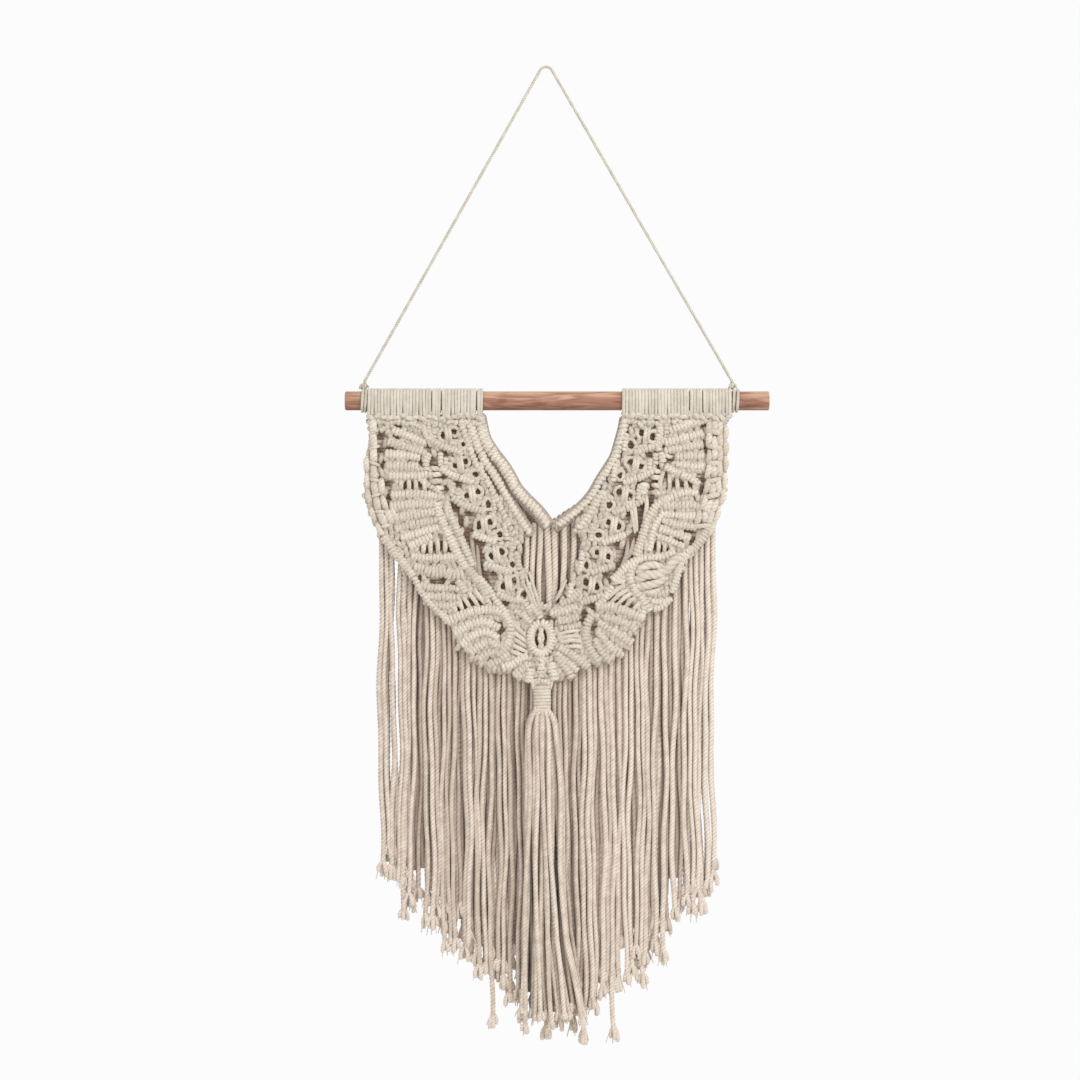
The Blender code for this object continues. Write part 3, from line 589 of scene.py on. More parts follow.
@dataclass(frozen=True)
class CottonCord:
    """Soft three-ply cotton cord, spun and twisted, undyed.

    Matt and a little fuzzy: its plies show as slanting bulges, with painted shade in the grooves between
    them, and fibres lie along them. Painted shade also makes it browner where little light gets in. Real
    fibres are finer than a pixel, so they are drawn about a millimetre long, as coarse as they need to be
    to show. Lengths are in millimetres.
    """

    name: str = "undyed_twisted_cotton"
    light: str = "#E8DBCD"
    dark: str = "#CDBDAD"
    # Painted shade in the grooves between plies
    groove: str = "#A8957F"
    # Painted shade: the dark brown that the shade attribute mixes in, deep in the work and on a cord's sides
    painted_shade_colour: str = "#66483A"
    roughness: float = 0.92
    sheen: float = 0.25
    sheen_roughness: float = 0.5
    gloss: float = 0.2
    relief: float = 0.5
    relief_height: float = 0.4
    plies: int = 3
    groove_share: float = 0.42
    groove_edge: float = 0.1
    patch_size: float = 1000 / 170
    patch_range: Spot = (0.36, 0.64)
    tone_weight: float = 0.45
    fibre_length: float = 1000 / 900
    fibres_round: float = 30.0

    def build(self) -> bpy.types.Material:
        """Makes the material.

        Returns:
            The material, which reads the map and the attributes that a piece's cords carry.
        """
        material, tree, shader = start_material(self.name, self.roughness)
        shader.inputs["Sheen Weight"].default_value = self.sheen
        shader.inputs["Sheen Roughness"].default_value = self.sheen_roughness
        shader.inputs["Specular IOR Level"].default_value = self.gloss
        surface = add_node(tree, "ShaderNodeUVMap", uv_map="cord")
        split = add_node(tree, "ShaderNodeSeparateXYZ", {0: surface.outputs[0]})
        angle = add_node(
            tree,
            "ShaderNodeMath",
            {0: split.outputs["Y"]},
            {1: math.tau * self.plies},
            operation="MULTIPLY",
        )
        wave = add_node(tree, "ShaderNodeMath", {0: angle.outputs[0]}, operation="COSINE")
        valley = add_node(
            tree, "ShaderNodeMapRange", {0: wave.outputs[0]}, {1: self.groove_edge, 2: 1.0, 3: 0.0, 4: 1.0}
        )
        object_place = add_node(tree, "ShaderNodeTexCoord")
        patches = add_node(
            tree,
            "ShaderNodeTexNoise",
            {"Vector": object_place.outputs["Object"]},
            {"Scale": 1.0 / (self.patch_size * MM), "Detail": 5.0, "Roughness": 0.65},
        )
        fibre_place = add_node(
            tree,
            "ShaderNodeMapping",
            {0: surface.outputs[0]},
            {"Scale": (1.0 / (self.fibre_length * MM), self.fibres_round, 1.0)},
        )
        fibres = add_node(
            tree, "ShaderNodeTexNoise", {"Vector": fibre_place.outputs[0]}, {"Scale": 1.0, "Detail": 2.0}
        )
        tone = add_node(tree, "ShaderNodeAttribute", attribute_name="tone")
        tone_share = add_node(
            tree,
            "ShaderNodeMapRange",
            {0: tone.outputs["Fac"]},
            {1: -1.0, 2: 1.0, 3: self.tone_weight, 4: -self.tone_weight},
        )
        patch_share = add_node(
            tree,
            "ShaderNodeMapRange",
            {0: patches.outputs[0]},
            {1: self.patch_range[0], 2: self.patch_range[1], 3: 0.0, 4: 1.0},
        )
        mixed = add_node(
            tree,
            "ShaderNodeMath",
            {0: tone_share.outputs[0], 1: patch_share.outputs[0]},
            operation="ADD",
            use_clamp=True,
        )
        base = add_node(
            tree,
            "ShaderNodeMix",
            {"Factor": mixed.outputs[0]},
            {"A": linear(self.light), "B": linear(self.dark)},
            data_type="RGBA",
        )
        # Painted shade in the grooves between plies
        groove_share = add_node(
            tree, "ShaderNodeMath", {0: valley.outputs[0]}, {1: self.groove_share}, operation="MULTIPLY"
        )
        grooved = add_node(
            tree,
            "ShaderNodeMix",
            {"Factor": groove_share.outputs[0], "A": base.outputs["Result"]},
            {"B": linear(self.groove)},
            data_type="RGBA",
        )
        # Painted shade: the shade attribute mixes the colour towards dark brown
        shade = add_node(tree, "ShaderNodeAttribute", attribute_name="shade")
        deep = add_node(
            tree,
            "ShaderNodeMix",
            {"Factor": shade.outputs["Fac"], "A": grooved.outputs["Result"]},
            {"B": linear(self.painted_shade_colour)},
            data_type="RGBA",
        )
        tree.links.new(deep.outputs["Result"], shader.inputs["Base Color"])
        # Fibres stand up to twice as high in a groove
        height = add_node(
            tree,
            "ShaderNodeMath",
            {0: valley.outputs[0], 1: fibres.outputs[0], 2: fibres.outputs[0]},
            operation="MULTIPLY_ADD",
        )
        relief = add_node(
            tree,
            "ShaderNodeBump",
            {"Height": height.outputs[0]},
            {"Strength": self.relief, "Distance": self.relief_height * MM},
        )
        tree.links.new(relief.outputs[0], shader.inputs["Normal"])
        return material


@dataclass(frozen=True)
class DowelWood:
    """Reddish hardwood dowel, turned and left bare.

    Grain runs along it in darker streaks, with a small knot, all with a dull shine. Painted light makes
    its upper side paler and painted shade makes its lower side redder, as light falls from above. Lengths
    are in millimetres.
    """

    name: str = "bare_hardwood"
    light: str = "#BC967D"
    middle: str = "#9C6F58"
    dark: str = "#744636"
    roughness: float = 0.55
    radius: float = DOWEL_RADIUS
    streak: Spot = (1000 / 26, 1000 / 230)
    painted_top_light: float = 0.17
    stops: tuple[float, float, float] = (0.3, 0.49, 0.66)
    relief: Spot = (0.3, 0.2)
    knot: Spot = (-34.0, 0.5)
    knot_size: Spot = (1000 / 220, 1000 / 420)
    knot_edge: Spot = (0.4, 1.1)
    knot_share: float = 0.6

    def build(self) -> bpy.types.Material:
        """Makes the material.

        Returns:
            The material, whose grain runs along X in the dowel's own place.
        """
        material, tree, shader = start_material(self.name, self.roughness)
        where = add_node(tree, "ShaderNodeTexCoord")
        along, across = (1.0 / (size * MM) for size in self.streak)
        stretched = add_node(
            tree, "ShaderNodeMapping", {0: where.outputs["Object"]}, {"Scale": (along, across, across)}
        )
        grain = add_node(
            tree,
            "ShaderNodeTexNoise",
            {"Vector": stretched.outputs[0]},
            {"Scale": 1.0, "Detail": 6.0, "Distortion": 1.1},
        )
        split = add_node(tree, "ShaderNodeSeparateXYZ", {0: where.outputs["Object"]})
        # Painted light and shade: paler towards the top and redder towards the bottom, as light falls from
        # above
        height = add_node(
            tree,
            "ShaderNodeMapRange",
            {0: split.outputs["Z"]},
            {
                1: -(HOOK_TO_DOWEL + self.radius) * MM,
                2: -(HOOK_TO_DOWEL - self.radius) * MM,
                3: -self.painted_top_light,
                4: self.painted_top_light,
            },
        )
        toned = add_node(
            tree, "ShaderNodeMath", {0: grain.outputs[0], 1: height.outputs[0]}, operation="ADD"
        )
        colours = add_node(tree, "ShaderNodeValToRGB", {0: toned.outputs[0]})
        ramp = colours.color_ramp
        low, middle, high = self.stops
        ramp.elements[0].position, ramp.elements[0].color = low, linear(self.dark)
        ramp.elements[1].position, ramp.elements[1].color = high, linear(self.light)
        ramp.elements.new(middle).color = linear(self.middle)
        x, drop = self.knot
        wide, tall = (1.0 / (size * MM) for size in self.knot_size)
        near_knot = add_node(
            tree,
            "ShaderNodeMapping",
            {0: where.outputs["Object"]},
            {
                "Location": (-x * MM * wide, 0.0, (HOOK_TO_DOWEL + drop) * MM * tall),
                "Scale": (wide, 0.0, tall),
            },
        )
        away = add_node(tree, "ShaderNodeVectorMath", {0: near_knot.outputs[0]}, operation="LENGTH")
        in_knot = add_node(
            tree,
            "ShaderNodeMapRange",
            {0: away.outputs["Value"]},
            {1: self.knot_edge[0], 2: self.knot_edge[1], 3: self.knot_share, 4: 0.0},
        )
        knotty = add_node(
            tree,
            "ShaderNodeMix",
            {"Factor": in_knot.outputs[0], "A": colours.outputs[0]},
            {"B": linear(self.dark)},
            data_type="RGBA",
        )
        tree.links.new(knotty.outputs["Result"], shader.inputs["Base Color"])
        relief = add_node(
            tree,
            "ShaderNodeBump",
            {"Height": grain.outputs[0]},
            {"Strength": self.relief[0], "Distance": self.relief[1] * MM},
        )
        tree.links.new(relief.outputs[0], shader.inputs["Normal"])
        return material


@dataclass(frozen=True)
class FloorPaint:
    """Pale floor paint, rolled on: smooth and matt, with a faint cloudiness."""

    name: str = "matt_floor_paint"
    colour: str = "#F2F1EF"
    cloud: str = "#EDECE9"
    roughness: float = 0.9
    cloud_size: float = 1000 / 40

    def build(self) -> bpy.types.Material:
        """Makes the material.

        Returns:
            The material.
        """
        material, tree, shader = start_material(self.name, self.roughness)
        speckle = add_node(
            tree, "ShaderNodeTexNoise", values={"Scale": 1.0 / (self.cloud_size * MM), "Detail": 2.0}
        )
        tint = add_node(
            tree,
            "ShaderNodeMix",
            {"Factor": speckle.outputs[0]},
            {"A": linear(self.colour), "B": linear(self.cloud)},
            data_type="RGBA",
        )
        tree.links.new(tint.outputs["Result"], shader.inputs["Base Color"])
        return material


@dataclass(frozen=True)
class SoftLight:
    """A square soft light: where it stands and its size in metres, and its power in watts."""

    name: str
    spot: tuple[float, float, float]
    power: float
    size: float

    def build(self, target: tuple[float, float, float]) -> None:
        """Adds the light.

        Args:
            target: The place that it looks at.
        """
        data = bpy.data.lights.new(self.name, "AREA")
        data.energy = self.power
        data.size = self.size
        light = bpy.data.objects.new(self.name, data)
        light.location = self.spot
        away = Vector(self.spot) - Vector(target)
        light.rotation_euler = away.to_track_quat("Z", "Y").to_euler()
        bpy.context.scene.collection.objects.link(light)


@dataclass
class Studio:
    """The camera, the soft lights and the floor. The floor's drop and the field are in millimetres."""

    camera_distance: float = 3.0
    middle: Spot = (-4.7, 108.3)
    field_width: float = 840.6
    sensor: float = 36.0
    floor_drop: float = 820.0
    floor_radius: float = 0.72
    floor_segments: int = 96
    key: SoftLight = SoftLight("key", (1.1, -1.5, 0.75), 18.0, 0.6)
    fill: SoftLight = SoftLight("fill", (-1.6, -1.6, -0.2), 2.0, 1.2)
    target: tuple[float, float, float] = (0.0, 0.0, -0.4)
    surround: str = "#FCFCFC"

    def build_camera(self) -> None:
        """Sets the camera straight in front of the hanging."""
        data = bpy.data.cameras.new("camera")
        data.sensor_width = self.sensor
        data.lens = self.sensor * self.camera_distance / (self.field_width * MM)
        camera = bpy.data.objects.new("camera", data)
        x, drop = self.middle
        camera.location = (x * MM, -self.camera_distance, -(HOOK_TO_DOWEL + drop) * MM)
        camera.rotation_euler = (math.pi / 2, 0.0, 0.0)
        bpy.context.scene.collection.objects.link(camera)
        bpy.context.scene.camera = camera

    def build_lights(self) -> None:
        """Adds a soft light high on the right, a weak one on the left and a pale surround."""
        for light in (self.key, self.fill):
            light.build(self.target)
        world = bpy.data.worlds.new("studio")
        world.use_nodes = True
        background = world.node_tree.nodes["Background"]
        background.inputs["Color"].default_value = linear(self.surround)
        background.inputs["Strength"].default_value = 1.0
        bpy.context.scene.world = world
        bpy.context.scene.view_settings.view_transform = "Standard"

    def build_floor(self, material: bpy.types.Material) -> None:
        """Adds a round floor below the hanging.

        Args:
            material: Its finish.
        """
        shape = bmesh.new()
        bmesh.ops.create_circle(
            shape,
            cap_ends=True,
            segments=self.floor_segments,
            radius=self.floor_radius,
            matrix=Matrix.Translation((0.0, 0.0, -(HOOK_TO_DOWEL + self.floor_drop) * MM)),
        )
        mesh = bpy.data.meshes.new("floor")
        shape.to_mesh(mesh)
        shape.free()
        mesh.materials.append(material)
        floor = bpy.data.objects.new("floor", mesh)
        bpy.context.scene.collection.objects.link(floor)


@dataclass
class HangingCord:
    """The thin cord over the hook, and its hitches on the dowel."""

    diameter: float = 2.5
    hook_bend: float = 5.2
    knots: dict[Side, Spot] = field(
        default_factory=lambda: {Side.LEFT: (-141.3, -11.2), Side.RIGHT: (144.6, -11.6)}
    )
    spans: dict[Side, Spot] = field(
        default_factory=lambda: {Side.LEFT: (-143.9, -138.9), Side.RIGHT: (144.3, 150.3)}
    )
    above_knot: float = 3.9
    spacing: float = 1.1
    bend_points: int = 13
    route_step: int = 4
    turn_lift: float = 1.0
    turn_slant: float = 0.5
    turn_points: int = 33
    tail_radius: float = 0.9

    def route(self) -> np.ndarray:
        """The cord's centreline: two taut legs and a round bend over the hook.

        Returns:
            Working points from the left knot to the right one.
        """
        bend = np.array((0.0, 0.0, HOOK_TO_DOWEL + self.diameter / 2 - self.hook_bend))
        left, right = (
            place(*self.knots[side]) + (0.0, 0.0, self.above_knot) for side in (Side.LEFT, Side.RIGHT)
        )
        arc = []
        for share in np.linspace(-1.0, 1.0, self.bend_points):
            end = left if share < 0 else right
            turn = share * (math.pi / 2 - math.atan2(abs(end[0]), HOOK_TO_DOWEL - end[2]))
            arc.append(bend + np.array((math.sin(turn), 0.0, math.cos(turn))) * self.hook_bend)
        return resample(np.vstack((left, *arc, right)), self.spacing)

    def build_cord(self, material: bpy.types.Material) -> None:
        """Args:
            material: Its finish.
        """
        work = CordWork("hook_cord")
        route = self.route()
        work.rope(route, self.diameter / 2, THIN_CORD, tone=0.2)
        piece = work.finish(material, HANGING_SLOT, "hanging_cord")

    def build_hitch(self, side: Side, material: bpy.types.Material) -> None:
        """Makes the turns on the dowel, the knot on top and its short free end.

        Args:
            side: Which end of the dowel.
            material: The cord's finish.
        """
        work = CordWork(f"hook_hitch_{side.value}")
        start, end = self.spans[side]
        rope = self.diameter / 2
        turns = round((end - start) / self.diameter)
        radius = DOWEL_RADIUS + self.turn_lift
        for turn in range(turns):
            x = start + (turn + 0.5) * (end - start) / turns
            angles = np.linspace(0.0, math.tau, self.turn_points)
            ring = np.column_stack((
                x + self.turn_slant * np.sin(angles),
                radius * np.cos(angles),
                radius * np.sin(angles),
            ))
            work.rope(ring, rope, FIBRE, ALONG_DOWEL)
        x, drop = self.knots[side]
        middle = place(x, drop)
        level = np.vstack((middle + (-2.1, 0.0, -1.2), middle + (2.1, 0.0, 0.9)))
        work.coil(level, wide=2.6, deep=2.4, pitch=2.0, rope=1.15, core=False)
        stem = np.vstack((middle + (0.0, 0.0, -1.9), middle + (0.0, 0.0, 3.2)))
        work.coil(stem, wide=2.1, deep=2.1, pitch=2.1, rope=1.1, core=False)
        tail = smooth(
            np.vstack((
                middle + (0.0, 0.0, 0.5),
                middle + (2.4 * side.sign, -0.8, 1.3),
                middle + (3.6 * side.sign, -1.4, -1.8),
            )),
            0.8,
        )
        work.rope(tail, self.tail_radius, FIBRE)
        work.finish(material, HANGING_SLOT, f"tie_{side.value}")


@dataclass
class Heading:
    """A row of lark's head knots over the dowel. A gap is how far a wrap stands out of its place."""

    side: Side
    span: Spot
    wraps: int = 36
    rope: float = 1.36
    flat: float = 0.9
    radius: float = 8.8
    gaps: dict[int, float] = field(default_factory=dict)
    turn: Spot = (-0.55 * math.pi, 0.92 * math.pi)
    turn_points: int = 26
    spacing: float = 1.6
    tail_drop: float = 13.5
    loop_drop: float = 12.8
    loop_y: float = -7.8
    loop_reach: float = 2.3
    loop_sink: float = 2.2

    def wrap_path(self, x: float, jitter: float) -> np.ndarray:
        """A wrap: from below the dowel, round behind and over it, and down in front.

        Args:
            x: Where it passes over the dowel.
            jitter: How far its end lies to the right of that.

        Returns:
            Its centreline.
        """
        angles = np.linspace(*self.turn, self.turn_points)
        arc = np.column_stack((
            np.full(len(angles), x),
            self.radius * np.cos(angles),
            self.radius * np.sin(angles),
        ))
        tail = np.array([
            (x + 0.3 * jitter, -8.4, -5.0),
            (x + 0.6 * jitter, -7.6, -8.6),
            (x + jitter, -6.2, -self.tail_drop),
        ])
        return smooth(np.vstack((arc, tail)), self.spacing)

    def build(self, material: bpy.types.Material) -> None:
        """Makes every wrap, and the loop that hugs each pair.

        Args:
            material: The cord's finish.
        """
        name = self.side.value
        work = CordWork(f"larks_head_row_{name}")
        start, end = self.span
        pitch = (end - start) / self.wraps
        for wrap in range(self.wraps):
            jitter = float(work.chance.uniform(-0.6, 0.6))
            x = start + (wrap + 0.5) * pitch + self.gaps.get(wrap, 0.0)
            path = self.wrap_path(x, jitter)
            outward = path * (0.0, 1.0, 1.0)
            outward[:, 2] = np.maximum(outward[:, 2], -3.0)
            radius = self.rope * float(work.chance.uniform(0.97, 1.04))
            work.rope(path, radius, WRAP, outward, flat=self.flat)
        for index in range(self.wraps // 2):
            drop = self.loop_drop + float(work.chance.uniform(-2.0, 1.6))
            middle = place(start + (2 * index + 1) * pitch, drop, self.loop_y)
            tilt = float(work.chance.uniform(-2.2, 2.2))
            left = middle + (-self.loop_reach, self.loop_sink, tilt)
            right = middle + (self.loop_reach, self.loop_sink, -tilt)
            bump = np.vstack((left, middle, right))
            work.rope(smooth(bump, 1.2), float(work.chance.uniform(1.6, 2.2)))
        work.finish(material, COTTON_SLOT, f"heading_{name}")


@dataclass(frozen=True)
class Row:
    """A row of hitches: its line, half its width at the two ends, and how far it stands out."""

    line: tuple[Spot, ...]
    wide: Spot
    rise: float = 0.0


@dataclass(frozen=True)
class Strand:
    """A loose cord in the work: its line, radius, how far it stands out and how much painted shade it
    carries.
    """

    line: tuple[Spot, ...]
    radius: float
    rise: float = 0.0
    shade: float = 0.0


@dataclass
class Knotwork:
    """Closely knotted cord: rows of hitches and loose cords over a backing, with small holes darkened by
    painted shade.
    """

    rows: tuple[Row, ...] = ()
    strands: tuple[Strand, ...] = ()
    holes: tuple[Spot, ...] = ()
    depth: float = -3.0
    pitch: float = 2.8
    rope: float = 1.65
    fullness: float = 1.04
    half_thickness: float = 3.9
    lean: float = 0.5
    uneven: float = 0.12
    stand_out: float = 0.95
    hole_size: float = 2.3
    puff_spacing: float = 1.7
    puff_roundness: float = 0.6
    dive: float = 2.0
    thick_from: float = 3.0
    filling_step: Spot = (4.2, 4.4)
    filling_half: float = 3.6
    filling_radius: float = 2.3
    # Painted shade on the filling puffs, and on the backing: the least away from a hole, and how much more
    # near one
    filling_shade: float = 0.16
    backing_step: float = 3.3
    backing_inset: float = 3.0
    backing_sink: float = 2.6
    backing_radius: float = 2.2
    backing_least: float = 8.0
    backing_shades: Spot = (0.25, 0.65)

    def hitch(self, row: Row, pairs: float = 0.015, swell: float = 0.06) -> None:
        """Lays one row of hitches.

        Args:
            row: Where it runs and how wide it is.
            pairs: As for a coil.
            swell: As for a coil.
        """
        axis = line_of(row.line, self.depth - row.rise)
        wide = (row.wide[0] * self.fullness, row.wide[1] * self.fullness)
        self.work.coil(
            axis,
            wide,
            self.half_thickness,
            self.pitch,
            self.rope,
            lean=self.lean,
            pairs=pairs,
            uneven=self.uneven,
            swell=swell,
            flat=self.stand_out,
        )

    def puff(self, path: np.ndarray, radius: float, shade: float = 0.0, tight: float = 0.3) -> None:
        """Lays a short loose cord, drawn tight at both ends and full between them.

        Args:
            path: The points that it passes.
            radius: Its radius in the middle.
            shade: As for a rope.
            tight: How much thinner its ends are, as a share.
        """
        line = smooth(path, self.puff_spacing)
        share = np.sin(np.linspace(0.0, math.pi, len(line)))
        radii = radius * (1.0 - tight + tight * share**self.puff_roundness)
        self.work.rope(line, radii, shade=shade)

    def build_rows(self) -> None:
        """Lays the rows of hitches, and the loose cords, which dive in at their ends."""
        for row in self.rows:
            self.hitch(row)
        for strand in self.strands:
            path = line_of(strand.line, self.depth - 0.4 - strand.rise)
            path[0, 1] += self.dive
            path[-1, 1] += self.dive
            path[1:-1, 1] -= 0.5 * self.dive
            if len(path) == 2:
                middle = path.mean(axis=0) + np.array((0.3, -3.0, 0.0))
                path = np.vstack((path[0], middle, path[1]))
            if strand.radius < self.thick_from:
                self.puff(path, strand.radius, strand.shade)
            else:
                self.work.rope(smooth(path, 1.3), strand.radius, THICK_CORD, shade=strand.shade)

    def build_filling(self, outer: Sequence[Spot], inner: Sequence[Spot]) -> None:
        """Lays short puffs of cord under the rows, so that the work is closed between its holes.

        Args:
            outer: The outline's outer side, from the top down.
            inner: Its inner side, from the top down.
        """
        holes = np.array(self.holes)
        chance = self.work.chance
        share = np.linspace(-1.0, 1.0, 5)
        step, row_step = self.filling_step
        foot = min(outer[-1][1], inner[-1][1])
        for index, drop in enumerate(np.arange(outer[0][1] + 1.0, foot - 2.0, row_step)):
            start, end = self.span_at(outer, inner, drop)
            for x in np.arange(start + 3.5 + 0.5 * step * (index % 2), end - 3.0, step):
                spot = np.array((x, drop)) + chance.uniform(-0.8, 0.8, 2)
                turn = float(chance.normal(0.0, 0.5))
                along = spot + share[:, None] * (2.4 * math.sin(turn), -2.4 * math.cos(turn))
                if np.linalg.norm(along[:, None] - holes, axis=2).min() < self.hole_size + 1.0:
                    continue
                reach = np.array((math.sin(turn), 0.0, math.cos(turn))) * self.filling_half
                middle = place(spot[0], spot[1], self.depth - 0.1)
                dive = np.array((0.0, 2.2, 0.0))
                path = np.vstack((middle - reach + dive, middle, middle + reach + dive))
                self.puff(path, self.filling_radius, self.filling_shade)

    @staticmethod
    def span_at(outer: Sequence[Spot], inner: Sequence[Spot], drop: float) -> tuple[float, float]:
        """The least and greatest x between two sides at a drop.

        Args:
            outer: One side, from the top down.
            inner: The other side, from the top down.
            drop: The drop.

        Returns:
            The two ends of the span.
        """
        ends = [
            float(np.interp(drop, [spot[1] for spot in side], [spot[0] for spot in side]))
            for side in (outer, inner)
        ]
        return min(ends), max(ends)

    def build_backing(self, outer: Sequence[Spot], inner: Sequence[Spot]) -> None:
        """Lays the cords that run across behind the rows, with painted shade, darkest where a hole lets them
        be seen.

        Args:
            outer: The outline's outer side, from the top down.
            inner: Its inner side, from the top down.
        """
        holes = np.array(self.holes)
        foot = min(outer[-1][1], inner[-1][1])
        shade_over, shade_more = self.backing_shades
        for drop in np.arange(outer[0][1] + 2.0, foot - 1.0, self.backing_step):
            start, end = self.span_at(outer, inner, drop)
            if end - start < self.backing_least:
                continue
            ends = (place(start + self.backing_inset, drop), place(end - self.backing_inset, drop))
            path = resample(np.vstack(ends), 2.0)
            path[:, 1] = self.depth + self.backing_sink
            gaps = np.hypot(path[:, :1] - holes[:, 0], -path[:, 2:] - holes[:, 1]).min(axis=1)
            # Painted shade on the backing, darkest round each hole
            shade = shade_over + shade_more * np.clip((self.hole_size + 2.0 - gaps) / 1.8, 0.0, 1.0)
            self.work.rope(path, self.backing_radius, HIDDEN, shade=shade, flat=0.7)


# A stitch's shapes: how far along or across it each point lies, as a share, and its depth. A loop has
# how far it bulges between the two.
STITCH = ((-0.5, 2.6), (-0.3, -1.6), (0.0, -3.4), (0.3, -1.6), (0.5, 2.6))
CROSSING = ((-1.0, 1.5), (-0.6, -2.6), (0.0, -4.0), (0.6, -2.6), (1.0, 1.5))
LOOP = ((-0.52, -1.6, 1.0), (-0.3, -0.3, -0.8), (0.0, 0.5, -1.4), (0.3, -0.3, -0.8), (0.52, -1.6, 1.0))

# One unit of the lattice, measured inwards and down from its middle: its slanting row after the start,
# wide or narrow, its upright rows, its pair of cords, its holes with a cord round them and its bare holes
BAR_START_WIDE: Spot = (-15.6, 3.0)
BAR_START_NARROW: Spot = (-9.0, 7.4)
BAR: tuple[Spot, ...] = ((-7.4, 8.4), (0.0, 11.2), (7.4, 13.6), (9.4, 15.2))
UPRIGHTS: tuple[tuple[Spot, Spot], ...] = (
    ((15.8, -1.0), (17.6, 12.6)),
    ((-11.4, -4.4), (-10.8, 3.6)),
    ((-15.4, -8.6), (-15.2, 1.0)),
)
PAIR_OFFSETS = (-1.4, 1.2)
PAIR_DEPTHS = (0.6, -3.4, 0.6)
EYELETS: tuple[Spot, ...] = ((4.2, -1.6), (-4.2, 1.6), (12.2, 8.4))
BARE_HOLES: tuple[Spot, ...] = ((-2.6, 15.6), (-14.5, 9.8))


